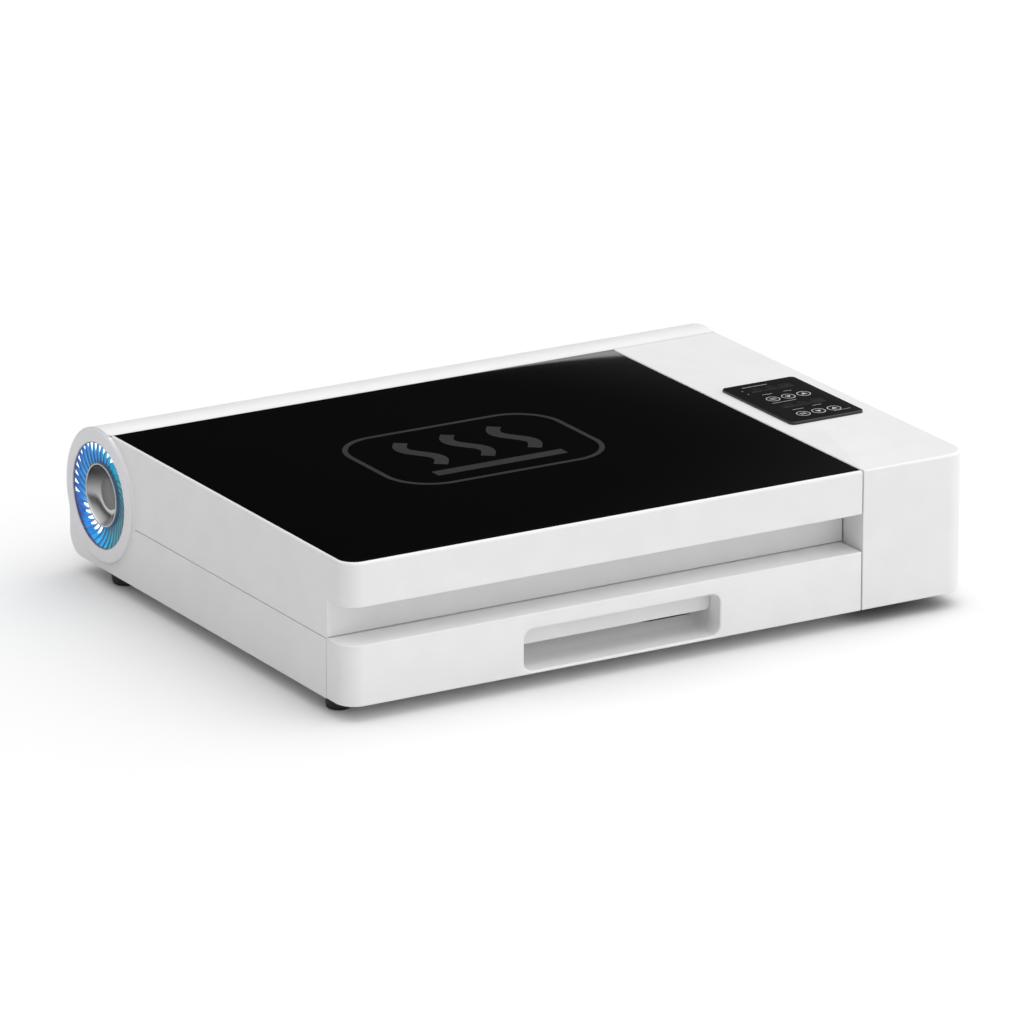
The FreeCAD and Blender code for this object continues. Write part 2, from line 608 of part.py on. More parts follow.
def chamber_liner():
    outer = block(("chamberInset", "chamberRight"), ("chamberFront", "chamberRear"),
                  ("linerBottom", "linerTop"))
    inner = block(("chamberInset + sheetThickness", "chamberRight - sheetThickness"),
                  ("chamberFront + sheetThickness", "chamberRear - sheetThickness"),
                  ("linerBottom - 1", "linerTop - sheetThickness"))
    slot = block(("fumeSlotStart", "fumeSlotStart + fumeSlotLength"),
                 ("chamberRear - 5", "chamberRear + 1"),
                 ("fumeSlotLevel - fumeSlotHeight / 2", "fumeSlotLevel + fumeSlotHeight / 2"))
    entry = rod("y", "probeRadius + 0.1", ("chamberRear - 5", "chamberRear + 1"),
                ("hoodRight / 2", "probeHeight"))
    finish(cut(outer, inner, slot, entry), "chamber_liner")


def insulation_blanket():
    slab = block(("chamberInset", "chamberRight"), ("chamberFront", "chamberRear"),
                 ("linerTop", "linerTop + insulationThickness"))
    finish(group(slab), "insulation_blanket")


def heat_shield():
    low, high = "shieldHeight", "shieldHeight + shieldThickness"
    left, right = "chamberInset + shieldInset", "chamberRight - shieldInset"
    plate = block((left, right), ("chamberFront", "chamberRear - 2"), (low, high))
    legs = [block((edge, f"{edge} + shieldThickness"), ("chamberFront", "chamberRear - 2"), ("wall", high))
            for edge in (left, f"{right} - shieldThickness")]
    finish(fuse(plate, *legs), "heat_shield")


def heater_rows():
    middle = "(chamberFront + chamberRear) / 2"
    count = int(size("heaterCount"))
    return [f"{middle} + {i - (count - 1) / 2} * heaterPitch" for i in range(count)]


def heaters():
    left, right = "chamberInset + sheetThickness", "chamberRight - sheetThickness"
    for i, row in enumerate(heater_rows(), start=1):
        tube = rod("x", "heaterRadius", (f"{left} + 1", f"{right} - 1"), (row, "heaterHeight"))
        finish(group(tube), f"heater_tube_{i}")
    rows = heater_rows()
    for side, (start, stop) in (("left", (left, f"{left} + holderWidth")),
                                ("right", (f"{right} - holderWidth", right))):
        bar = block((start, stop), (f"{rows[0]} - holderReach", f"{rows[-1]} + holderReach"),
                    ("heaterHeight - holderHeight / 2", "linerTop - sheetThickness"))
        holes = [rod("x", "heaterRadius", (f"{start} - 2", f"{stop} + 2"), (row, "heaterHeight"))
                 for row in rows]
        finish(cut(bar, *holes), f"heater_holder_{side}")


def temperature_probe():
    sheath = rod("y", "probeRadius", ("chamberRear - probeReach", "chamberRear + collarWidth"),
                 ("hoodRight / 2", "probeHeight"))
    collar = rod("y", "probeRadius + collarWidth",
                 ("chamberRear - sheetThickness - collarWidth", "chamberRear - sheetThickness"),
                 ("hoodRight / 2", "probeHeight"))
    finish(fuse(sheath, collar), "temperature_probe")


# ---- drawer and slides -----------------------------------------------------------------------

def drawer_front():
    body = new_body("DrawerFront")
    prism(body, "Pad", "XY", ("0", "drawerTop"),
          rectangle(("0", "hoodRight"), ("0", "drawerFrontDepth")), {0: "cornerRadius"})
    reach = size("cornerRadius")
    for height in ("0", "drawerTop"):
        soften(body, "edgeRound", lambda e: lies_at(e, z=height)
               and e.CenterOfMass.y < size("drawerFrontDepth") - 0.1
               and (e.CenterOfMass.x < reach or e.CenterOfMass.y < reach)
               and not lies_at(e, x="hoodRight"))
    prism(body, "Pocket", "XY", ("pullBottom", "drawerTop - wall"),
          rectangle(("wall", "hoodRight - wall"), ("wall", "drawerFrontDepth + 1")),
          {0: "cornerRadius - wall"})
    prism(body, "Pocket", "XZ", ("-1", "wall + 1"),
          rectangle(("pullLeft", "pullRight"), ("pullBottom", "pullTop")),
          {k: "pullCorner" for k in range(4)})
    prism(body, "Pad", "XZ", ("wall - 0.5", "drawerFrontDepth"), circles=drawer_screw_places(),
          radius="bossRadius")
    prism(body, "Pocket", "XZ", ("drawerFrontDepth - bossDepth", "drawerFrontDepth + 1"),
          circles=drawer_screw_places(), radius="screwRadius + screwFit")
    finish(body, "drawer_front")


def drawer_screw_places():
    beyond = "(hoodRight - pullRight)"
    xs = ("pullLeft / 3", "3 * pullLeft / 4", f"pullRight + {beyond} / 4", f"pullRight + 2 * {beyond} / 3")
    return [(x, "trayTop - screwDrop") for x in xs]


def pull_cup():
    body = new_body("PullCup")
    outside = rectangle(("pullLeft - cupWall", "pullRight + cupWall"), ("pullBottom", "pullTop + cupWall"))
    prism(body, "Pad", "XZ", ("wall", "pullDepth + cupWall"), outside,
          {2: "pullCorner + cupWall", 3: "pullCorner + cupWall"})
    inside = rectangle(("pullLeft", "pullRight"), ("pullBottom - 1", "pullTop"))
    prism(body, "Pocket", "XZ", ("wall - 1", "pullDepth"), inside, {2: "pullCorner", 3: "pullCorner"})
    prism(body, "Pad", "XZ", ("barSetback", "barSetback + cupWall"),
          rectangle(("pullLeft - 0.5", "pullRight + 0.5"), ("barBottom", "pullTop + 0.5")),
          {2: "pullCorner", 3: "pullCorner"})
    finish(body, "pull_cup")


def drawer_tray():
    outer = block(("trayLeft", "trayRight"), ("drawerFrontDepth", "trayRear"), ("trayBottom", "trayTop"))
    inner = block(("trayLeft + trayWall", "trayRight - trayWall"),
                  ("drawerFrontDepth + trayWall", "trayRear - trayWall"),
                  ("trayBottom + trayWall", "trayTop + 1"))
    holes = [rod("y", "screwRadius + screwFit",
                 ("drawerFrontDepth - 1", "drawerFrontDepth + trayWall + 1"), place)
             for place in drawer_screw_places()]
    finish(cut(outer, inner, *holes), "drawer_tray")


def drawer_screws():
    start = "drawerFrontDepth + trayWall"
    screws = [fuse(rod("y", "screwHeadRadius", (start, f"{start} + screwHead"), place),
                   rod("y", "screwRadius", ("drawerFrontDepth - bossDepth + 1", f"{start} + 1"), place))
              for place in drawer_screw_places()]
    finish(group(*screws), "drawer_screws")


def mesh_rack():
    """A frame of square bar on four legs, with round wires laid across it."""
    left, right = "trayLeft + trayWall + rackGap", "trayRight - trayWall - rackGap"
    front, rear = "drawerFrontDepth + trayWall + rackGap", "trayRear - trayWall - rackGap"
    around = lambda place: (f"{place} - rackFrame", f"{place} + rackFrame")
    level = around("rackHeight")
    frame = [block((f"{left} - rackFrame", f"{right} + rackFrame"), around(y), level) for y in (front, rear)]
    frame += [block(around(x), (front, rear), level) for x in (left, right)]
    legs = [block(around(x), around(y), ("trayBottom + trayWall", "rackHeight"))
            for x in (left, right) for y in (front, rear)]
    count = int(size("rackWireCount"))
    shares = [(i + 1) / (count + 1) for i in range(count)]
    wires = [rod("y", "rackWire", (front, rear), (f"{left} + {share} * ({right} - ({left}))", "rackHeight"))
             for share in shares]
    braces = [rod("x", "rackWire", (left, right),
                  (f"{front} + {share} * ({rear} - ({front}))", "rackHeight - braceDrop"))
              for share in (1 / 3, 2 / 3)]
    finish(fuse(*frame, *legs, *wires, *braces), "mesh_rack")


def channel(web, flange, z, y):
    """A thin rail: an upright web with a flange along its top and its bottom edge."""
    low, high = z
    parts = [block(web, y, z), block(flange, y, (low, f"{low} + railMetal")),
             block(flange, y, (f"{high} - railMetal", high))]
    return fuse(*parts)


def slides():
    low, high = "railBottom", "railBottom + railHeight"
    step = "railMetal + railPlay"
    length = ("railStart", "trayRear")
    for side, place in (("left", lambda depth: f"wall + {depth}"),
                        ("right", lambda depth: f"hoodRight - wall - ({depth})")):
        def span(first, second):
            ends = (place(first), place(second))
            return ends if side == "left" else ends[::-1]

        fixed = channel(span("0", "railMetal"), span("0", "railFlange"), (low, high), length)
        middle = channel(span(step, f"{step} + railMetal"), span(step, "railFlange"),
                         (f"{low} + {step}", f"{high} - ({step})"), length)
        inner = channel(span("slideWidth - railMetal", "slideWidth"),
                        span(f"2 * ({step})", "slideWidth"),
                        (f"{low} + 2 * ({step})", f"{high} - 2 * ({step})"), length)
        finish(fixed, f"fixed_rail_{side}")
        finish(middle, f"middle_rail_{side}")
        finish(inner, f"drawer_rail_{side}")


# ---- control panel ---------------------------------------------------------------------------

def key_places():
    rows = {"time": "panelFront + keyRowRear", "heat": "panelFront + keyRowFront"}
    columns = {"set": 0, "down": 1, "up": 2}
    return {f"{row}_{name}_key": (f"panelLeft + keyInset + {i} * keyPitch", y)
            for row, y in rows.items() for name, i in columns.items()}


def light_places():
    """Two lights beside the timer display and one above each group of keys."""
    side, keys = "panelLeft + lightInset", "panelLeft + keyInset"
    return [(side, "panelFront + timerRow + lightAboveTimer"),
            (side, "panelFront + timerRow - lightBelowTimer"),
            (f"{keys} + timeLightShift", "panelFront + keyRowRear + timeLightRow"),
            (f"{keys} + pairLightShift", "panelFront + keyRowRear + timeLightRow"),
            (f"{keys} + pairLightShift", "panelFront + keyRowFront + heatLightRow")]


def display_spans(row):
    x = ("panelLeft + displayInset", "panelLeft + displayInset + displayWidth")
    return x, (f"panelFront + {row} - displayLength / 2", f"panelFront + {row} + displayLength / 2")


def panel_bezel():
    body = new_body("PanelBezel")
    prism(body, "Pad", "XY", ("bodyHeight", "panelTop"),
          rectangle(("panelLeft", "panelRight"), ("panelFront", "panelRear")),
          {k: "panelCorner" for k in range(4)})
    soften(body, "panelBevel", lambda e: lies_at(e, z="panelTop"), "Chamfer")
    through = ("bodyHeight - 1", "panelTop + 1")
    for row in ("timerRow", "temperatureRow"):
        prism(body, "Pocket", "XY", through, rectangle(*display_spans(row)))
    prism(body, "Pocket", "XY", through, circles=list(key_places().values()), radius="keyRadius + keyPlay")
    prism(body, "Pocket", "XY", through, circles=light_places(), radius="lightRadius")
    finish(body, "panel_bezel")


def displays():
    for name, row in (("timer_display", "timerRow"), ("temperature_display", "temperatureRow")):
        (left, right), (front, rear) = display_spans(row)
        window = block((f"{left} + 0.1", f"{right} - 0.1"), (f"{front} + 0.1", f"{rear} - 0.1"),
                       ("boardTop", "panelTop - 0.1"))
        finish(group(window), name)


def keys():
    for name, place in key_places().items():
        cap = rod("z", "keyRadius", ("bodyHeight - keyUnder", "panelTop + keyProud"), place)
        flange = rod("z", "keyRadius + keyFlange", ("bodyHeight - keyRoot", "bodyHeight - fitGap"), place)
        finish(fuse(cap, flange), name)


def key_board():
    edge = "(panelLip + 1)"
    board = block((f"panelLeft + {edge}", f"panelRight - {edge}"),
                  (f"panelFront + {edge}", f"panelRear - {edge}"), ("boardTop - boardThickness", "boardTop"))
    reach = ("boardTop - domeSink", "bodyHeight - keyRoot - keyTravel - domeGap")
    domes = [rod("z", "domeRadius", reach, place)
             for place in key_places().values()]
    finish(fuse(board, *domes), "key_board")


def indicator_lights():
    finish(group(*[rod("z", "lightRadius", ("boardTop", "panelTop"), place) for place in light_places()]),
           "indicator_lights")


# ---- electronics and mains entry -------------------------------------------------------------

def electronics():
    left, right = "columnLeft + wall + bayInset", "bodyWidth - wall - bayInset"
    rear = "boardFront + boardLength"
    board = block((left, right), ("boardFront", rear), ("boardHeight", "boardHeight + boardThickness"))
    posts = [rod("z", "postRadius", ("wall", "boardHeight + solderSink"), (x, y))
             for x in (f"{left} + postInset", f"{right} - postInset")
             for y in ("boardFront + postInset", f"{rear} - postInset")]
    top = "boardHeight + boardThickness - solderSink"
    transformer = block((f"{left} + coilInset", f"{left} + coilInset + coilWidth"),
                        ("coilFront", "coilFront + coilLength"), (top, "coilTop"))
    heatsink = block((f"{right} - sinkInset - sinkWidth", f"{right} - sinkInset"),
                     ("sinkFront", "sinkFront + sinkLength"), (top, "sinkTop"))
    capacitors = [rod("z", "capRadius", (top, "capTop"), (f"{left} + capInset", y))
                  for y in ("capFront", "capFront + capPitch")]
    finish(fuse(board, *posts, transformer, heatsink, *capacitors), "main_board")
    supply = block((left, right), ("supplyFront", "supplyFront + supplyLength"), ("wall", "supplyTop"))
    finish(group(supply), "power_supply")
    relay = block((f"{left} + relayInset", f"{left} + relayInset + relayWidth"),
                  ("relayFront", "relayFront + relayLength"), ("wall", "relayTop"))
    finish(group(relay), "solid_state_relay")


def socket_case(centre, width, height, depth, well_depth):
    """A case let into the back wall, open to the rear; also the x and z it spans."""
    x = (f"{centre} - {width} / 2", f"{centre} + {width} / 2")
    z = (f"mainsHeight - {height} / 2", f"mainsHeight + {height} / 2")
    case = block(x, (f"bodyDepth - {depth}", "bodyDepth"), z)
    well = block((f"{x[0]} + socketWall", f"{x[1]} - socketWall"),
                 (f"bodyDepth - {well_depth}", "bodyDepth + 1"),
                 (f"{z[0]} + socketWall", f"{z[1]} - socketWall"))
    return cut(case, well), x


def mains_entry():
    inlet, _ = socket_case("inletCentre", "inletWidth", "inletHeight", "inletDepth", "inletWell")
    root = "bodyDepth - inletWell - 1"
    blades = []
    for dx, dz in (("-inletWidth / 4", "-socketWall"), ("0", "socketWall"), ("inletWidth / 4", "-socketWall")):
        x, z = f"inletCentre + {dx}", f"mainsHeight + {dz}"
        blades.append(block((f"{x} - inletBladeWidth / 2", f"{x} + inletBladeWidth / 2"),
                            (root, f"{root} + inletBlade"),
                            (f"{z} - inletBladeHeight / 2", f"{z} + inletBladeHeight / 2")))
    finish(fuse(inlet, *blades), "inlet_socket")

    housing, (left, right) = socket_case("switchCentre", "switchWidth", "switchHeight", "switchDepth",
                                         "switchWell")
    finish(housing, "switch_housing")
    paddle = block((f"{left} + rockerPlay - switchCentre", f"{right} - rockerPlay - switchCentre"),
                   ("-rockerThickness / 2", "rockerThickness / 2"),
                   ("-switchHeight / 2 + rockerEnd", "switchHeight / 2 - rockerEnd"))
    tilted = doc.addObject("Part::Compound", "tilted")
    tilted.Links = [paddle]
    tilted.Placement = Placement(Vector(), Rotation(Vector(1, 0, 0), size("rockerAngle")))
    bind(tilted, "Placement.Base.x", "switchCentre")
    bind(tilted, "Placement.Base.y", "bodyDepth - rockerSetback")
    bind(tilted, "Placement.Base.z", "mainsHeight")
    pivot = rod("x", "rockerPivot", (f"{left} + rockerPlay", f"{right} - rockerPlay"),
                ("bodyDepth - rockerSetback", "mainsHeight"))
    finish(fuse(tilted, pivot), "power_rocker")


# ---- feet and screws -------------------------------------------------------------------------

def feet():
    sides = {"left": "footLeftInset", "right": "bodyWidth - footRightInset"}
    ends = {"front": "footFront", "rear": "footRear"}
    for end, y in ends.items():
        for side, x in sides.items():
            cone = doc.addObject("Part::Cone", "cone")
            bind(cone, "Radius1", "footRadius")
            bind(cone, "Radius2", "footTopRadius")
            bind(cone, "Height", "footHeight")
            bind(cone, "Placement.Base.x", x)
            bind(cone, "Placement.Base.y", y)
            bind(cone, "Placement.Base.z", "-footHeight")
            doc.recompute()
            foot = doc.addObject("Part::Fillet", "foot")
            foot.Base = cone
            radius = size("footRound")
            foot.Edges = [(i + 1, radius, radius) for i, edge in enumerate(cone.Shape.Edges)
                          if lies_at(edge, z="-footHeight")]
            finish(foot, f"foot_{end}_{side}")


def casing_screws():
    screws = [fuse(rod("z", "screwHeadRadius", ("-screwHead", "0"), place),
                   rod("z", "screwRadius", ("-1", "wall + bossRadius"), place)) for place in screw_places()]
    finish(group(*screws), "casing_screws")


for build in (base_pan, hood_shell, column_shell, duct_shell, window_glass, window_gasket, fan_ring,
              swirl_vanes, hub_cone, led_ring, fan_impeller, fan_motor, fan_frame, duct_tube,
              filter_cartridge, duct_end_plug, chamber_liner, insulation_blanket, heat_shield,
              heaters, temperature_probe, drawer_front, pull_cup, drawer_tray, drawer_screws,
              mesh_rack, slides, panel_bezel, displays, keys, key_board, indicator_lights,
              electronics, mains_entry, feet, casing_screws):
    build()
doc.recompute()

faults = [thing.Name for thing in doc.Objects if {"Invalid", "Error"} & set(thing.State)]
for piece in pieces:
    if piece.Shape.isNull() or not piece.Shape.isValid() or not piece.Shape.Solids:
        faults.append(piece.Label)
if faults:
    raise RuntimeError("not built: " + ", ".join(faults))

os.makedirs("parts", exist_ok=True)
for piece in pieces:
    piece.Shape.exportStep(f"parts/{piece.Label}.step")
print(len(pieces), "sub-parts written")
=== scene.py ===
import json
import math

import bmesh
import bpy
import numpy as np
from mathutils import Matrix, Vector
from mathutils.geometry import tessellate_polygon


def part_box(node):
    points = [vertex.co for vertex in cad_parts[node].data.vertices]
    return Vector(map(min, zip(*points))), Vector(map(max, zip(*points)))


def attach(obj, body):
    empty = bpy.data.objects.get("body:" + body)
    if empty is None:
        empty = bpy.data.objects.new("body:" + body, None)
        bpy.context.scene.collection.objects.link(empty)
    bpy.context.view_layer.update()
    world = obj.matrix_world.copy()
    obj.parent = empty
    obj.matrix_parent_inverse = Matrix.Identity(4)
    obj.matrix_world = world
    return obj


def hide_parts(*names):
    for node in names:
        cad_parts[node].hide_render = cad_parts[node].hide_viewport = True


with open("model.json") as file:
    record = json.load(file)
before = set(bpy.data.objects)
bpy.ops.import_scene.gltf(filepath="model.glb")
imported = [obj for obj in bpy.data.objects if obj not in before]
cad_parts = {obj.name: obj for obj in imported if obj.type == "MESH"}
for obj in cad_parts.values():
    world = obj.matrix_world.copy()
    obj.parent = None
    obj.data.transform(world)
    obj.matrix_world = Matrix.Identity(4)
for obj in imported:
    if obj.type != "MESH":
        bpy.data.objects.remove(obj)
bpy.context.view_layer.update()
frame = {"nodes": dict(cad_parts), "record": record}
print("frame loaded:", len(frame["nodes"]), "nodes")

mm = 0.001
low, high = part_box("hood_shell")
left, front = low.x, low.y
hoodRight, fold, topPlane = high
low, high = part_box("column_shell")
columnLeft, under, rightSide = low.x, low.z, high.x
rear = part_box("duct_shell")[1].y
low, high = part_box("fan_ring")
ductRadius = (high.z - low.z) / 2
ductY, ductZ, ringFace = rear - ductRadius, low.z + ductRadius, low.x


# a piece's lengths, given in millimetres
def lengths(**values):
    return {key: value * mm for key, value in values.items()}


# mesh helpers
def makePiece(name, points, faces, body, material, replaced=(), smooth=35):
    mesh = bpy.data.meshes.new(name)
    mesh.from_pydata(np.asarray(points, float).reshape(-1, 3).tolist(), [], faces)
    mesh.validate()
    mesh.shade_smooth()
    if smooth < 180:
        mesh.set_sharp_from_angle(angle=math.radians(smooth))
    piece = bpy.data.objects.new(name, mesh)
    bpy.context.scene.collection.objects.link(piece)
    mesh.materials.append(material)
    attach(piece, body)
    if replaced:
        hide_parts(*replaced)
    return piece


# the middle of a node seen from above, its foot and its top
def stand(name):
    first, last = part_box(name)
    return (first.x + last.x) / 2, (first.y + last.y) / 2, first.z, last.z


# quads of a grid of points, row by row; closed joins the last column to the first
def gridFaces(rows, columns, start=0, closed=False, flip=False):
    j = np.arange(columns if closed else columns - 1)
    i = np.arange(rows - 1)[:, None]
    a = i * columns + j
    b = i * columns + (j + 1) % columns
    quads = np.stack([a, b, b + columns, a + columns], -1).reshape(-1, 4) + start
    return (quads[:, ::-1] if flip else quads).tolist()


class Skin:
    # gathers grids and flat caps that make one piece
    def __init__(self):
        self.points = []
        self.faces = []
        self.count = 0

    def grid(self, points, closed=False, flip=False):
        rows, columns = points.shape[:2]
        self.faces += gridFaces(rows, columns, self.count, closed, flip)
        self.points.append(points.reshape(-1, 3))
        self.count += rows * columns
        return self

    def cap(self, loop, flip=False):
        order = list(range(self.count, self.count + len(loop)))
        self.faces.append(order[::-1] if flip else order)
        self.points.append(np.asarray(loop, float))
        self.count += len(loop)
        return self

    def closed(self, rows):
        # rings one after another, with the first and the last filled
        return self.grid(rows, closed=True).cap(rows[-1]).cap(rows[0], flip=True)

    def holed(self, loops, place):
        # a flat face with holes: triangles between the loops, all turning left
        corners = np.concatenate(loops)
        for triangle in tessellate_polygon([[Vector((s, t, 0)) for s, t in loop] for loop in loops]):
            a, b, c = (corners[k] for k in triangle)
            turn = (b[0] - a[0]) * (c[1] - a[1]) - (b[1] - a[1]) * (c[0] - a[0])
            self.faces.append([k + self.count for k in (triangle if turn > 0 else triangle[::-1])])
        self.points.append(place(corners))
        self.count += len(corners)
        return self

    def build(self, name, slot, material, body="casing", merge=2e-6, smooth=35, replaced=()):
        piece = makePiece(name, np.concatenate(self.points), self.faces, body, material, replaced, smooth)
        weldPiece(piece, merge, smooth)


def weldPiece(piece, distance, smooth):
    shape = bmesh.new()
    shape.from_mesh(piece.data)
    bmesh.ops.remove_doubles(shape, verts=shape.verts, dist=distance)
    shape.to_mesh(piece.data)
    shape.free()
    piece.data.shade_smooth()
    piece.data.set_sharp_from_angle(angle=math.radians(smooth))


# an outline through corners with round stretches, the inside at the left of the walk
# arc point = corner centre + radius * turned normal; gives points and outward normals
def outline(corners, radii, closed=True, steps=14):
    corners = [np.array(c, float) for c in corners]
    count = len(corners)
    places, normals = [], []

    def put(p, n):
        if not places or np.linalg.norm(places[-1] - p) > 1e-7:
            places.append(p)
            normals.append(n)

    def turned(d):
        return np.array([d[1], -d[0]])

    for k in range(count):
        last, here, after = corners[k - 1], corners[k], corners[(k + 1) % count]
        ends = not closed and k in (0, count - 1)
        if ends:
            d = (after - here) if k == 0 else (here - last)
            put(here, turned(d / np.linalg.norm(d)))
            continue
        a = (here - last) / np.linalg.norm(here - last)
        b = (after - here) / np.linalg.norm(after - here)
        turn = a[0] * b[1] - a[1] * b[0]
        angle = math.atan2(turn, a @ b)
        r = radii[k]
        reach = r * math.tan(abs(angle) / 2)
        side = 1 if turn > 0 else -1
        centre = here - a * reach - turned(a) * r * side
        first = turned(a)
        for t in np.linspace(0, 1, steps + 1):
            c, s = math.cos(angle * t), math.sin(angle * t)
            n = np.array([first[0] * c - first[1] * s, first[0] * s + first[1] * c])
            put(centre + n * r * side, n)
    return np.array(places), np.array(normals)


# carries a profile of (inset, height) along an outline: point = outline - inset * normal, height as given
def sweep(places, normals, inset, height):
    inset = np.broadcast_to(inset, (len(places), np.shape(inset)[-1]))
    height = np.broadcast_to(height, inset.shape)
    flat = places[:, None, :] - inset[:, :, None] * normals[:, None, :]
    return np.dstack([flat, height])


# a quarter circle: radius * cosine and radius * sine from 0 to 90 degrees
def quarter(radius, steps=6):
    t = np.radians(np.linspace(0, 90, steps + 1))
    return radius * np.cos(t), radius * np.sin(t)


# a profile turned about the duct's axis: x from the profile, y and z on a circle of its radius
def turnAboutDuct(xs, radii, steps):
    t = np.radians(np.linspace(0.0, 360.0, steps, endpoint=False))
    xs, radii = np.asarray(xs, float), np.asarray(radii, float)
    y = ductY + radii[:, None] * np.sin(t)
    z = ductZ + radii[:, None] * np.cos(t)
    return np.dstack([np.broadcast_to(xs[:, None], y.shape), y, z])


# a profile of (radius, height) turned about the upright line through x, y
# point = (x + radius * cosine, y + radius * sine, height)
def turnUpright(x, y, profile, steps=64):
    t = np.linspace(0, 2 * math.pi, steps, endpoint=False)
    return np.array([np.column_stack([x + r * np.cos(t), y + r * np.sin(t), np.full(steps, z)])
                     for r, z in profile])


# a flat panel with rounded-edged holes: place = start + along * s - out * depth, and z as given
def pierced(skin, start, stop, low, high, holes, rim, deep):
    start, stop = np.array(start, float), np.array(stop, float)
    length = np.linalg.norm(stop - start)
    along = (stop - start) / length
    out = np.array([along[1], -along[0]])

    def placed(loop, depth):
        flat = start + loop[:, :1] * along - depth * out
        return np.column_stack([flat, loop[:, 1]])

    frameLoop = np.array([(0, low), (length, low), (length, high), (0, high)])
    lips = [path + away * rim for path, away in holes]
    skin.holed([frameLoop] + lips, lambda corners: placed(corners, 0.0))
    for path, away in holes:
        rows = []
        for t in np.radians(np.linspace(0, 90, 7)):
            rows.append(placed(path + away * rim * (1 - math.sin(t)), rim * (1 - math.cos(t))))
        rows.append(placed(path, deep))
        skin.grid(np.array(rows), closed=True)


# walls carried along an outline as in sweep, with one flat stretch from start to stop left for a pierced
# panel; above and below that panel the rounded edges run on
def wallsRound(skin, places, normals, inset, height, start, stop):
    ends = np.array([start, stop], float)
    start, stop = ends
    inset = np.broadcast_to(inset, (len(places), np.shape(inset)[-1]))
    height = np.broadcast_to(height, inset.shape)
    steps = places[1:] - places[:-1]
    spans = np.linalg.norm(steps, axis=1)
    reach = start - places[:-1]
    share = np.sum(reach * steps, axis=1) / spans ** 2
    offset = np.abs(steps[:, 0] * reach[:, 1] - steps[:, 1] * reach[:, 0]) / spans
    k = int(np.argmax((offset < 1e-7) & (share > 0) & (share < 1)))
    out = np.array([steps[k][1], -steps[k][0]]) / spans[k]
    first = sweep(np.vstack([places[:k + 1], start]), np.vstack([normals[:k + 1], out]),
                  np.vstack([inset[:k + 1], inset[k]]), np.vstack([height[:k + 1], height[k]]))
    last = sweep(np.vstack([stop, places[k + 1:]]), np.vstack([out, normals[k + 1:]]),
                 np.vstack([inset[k], inset[k + 1:]]), np.vstack([height[k], height[k + 1:]]))
    skin.grid(first, flip=True).grid(last, flip=True)
    level = np.where(inset[k] < 1e-9)[0]
    for part in (slice(0, level[0] + 1), slice(level[-1], None)):
        skin.grid(sweep(ends, np.array([out, out]), inset[k][part], height[k][part]), flip=True)
    skin.cap([*first[:, -1], *last[:, -1]]).cap([*first[:, 0], *last[:, 0]], flip=True)


# a rectangle with round corners, as an outline with outward normals
def roundedHole(s0, s1, z0, z1, radius, steps=10):
    return outline([(s0, z0), (s1, z0), (s1, z1), (s0, z1)], [radius] * 4, steps=steps)


# materials: puts values, or the sockets of other nodes, into a node's inputs
def feed(tree, node, values):
    for key, value in values.items():
        if isinstance(value, bpy.types.NodeSocket):
            tree.links.new(value, node.inputs[key])
        else:
            node.inputs[key].default_value = value
    return node


def addNode(tree, kind, values=(), **settings):
    node = tree.nodes.new("ShaderNode" + kind)
    for key, value in settings.items():
        setattr(node, key, value)
    return feed(tree, node, dict(values))


def arith(tree, operation, *values):
    return addNode(tree, "Math", enumerate(values), operation=operation).outputs[0]


def mapRange(tree, value, start, stop, first=0.0, last=1.0, kind="LINEAR"):
    return addNode(tree, "MapRange", {"Value": value, "From Min": start, "From Max": stop, "To Min": first,
                                      "To Max": last}, interpolation_type=kind).outputs["Result"]


def noise(tree, place, scale, detail=2.0):
    return addNode(tree, "TexNoise", {"Vector": place, "Scale": scale, "Detail": detail}).outputs["Fac"]


def ramp(tree, value, marks):
    node = addNode(tree, "ValToRGB", {"Fac": value})
    elements = node.color_ramp.elements
    while len(elements) < len(marks):
        elements.new(0.5)
    for element, (position, color) in zip(elements, marks):
        element.position = position
        element.color = (*color, 1)
    return node.outputs["Color"]


# fine relief: height = noise over the object
def grain(tree, place, scale, strength, distance=0.0002, detail=3.0):
    return addNode(tree, "Bump", {"Height": noise(tree, place, scale, detail), "Strength": strength,
                                  "Distance": distance}).outputs["Normal"]


# soft changes between two values or two colours, driven by a slow noise
def softValue(tree, place, scale, limits):
    return mapRange(tree, noise(tree, place, scale), 0.0, 1.0, *limits)


def softColor(tree, place, scale, first, second):
    return ramp(tree, noise(tree, place, scale), [(0.35, first), (0.65, second)])


def blend(tree, share, first, second):
    return addNode(tree, "Mix", {"Factor": share, "A": first, "B": second}, data_type="RGBA").outputs["Result"]


def newMaterial(name):
    material = bpy.data.materials.new(name)
    material.use_nodes = True
    tree = material.node_tree
    return material, tree, tree.nodes["Principled BSDF"], addNode(tree, "TexCoord").outputs["Object"]


def plain(name, first, second, roughness, fine, strength, metallic=0.0, specular=0.5, colorScale=30):
    material, tree, shader, place = newMaterial(name)
    feed(tree, shader, {"Metallic": metallic, "Specular IOR Level": specular,
                        "Normal": grain(tree, place, fine, strength),
                        "Base Color": softColor(tree, place, colorScale, first, second),
                        "Roughness": softValue(tree, place, colorScale * 2.3, roughness)})
    return material


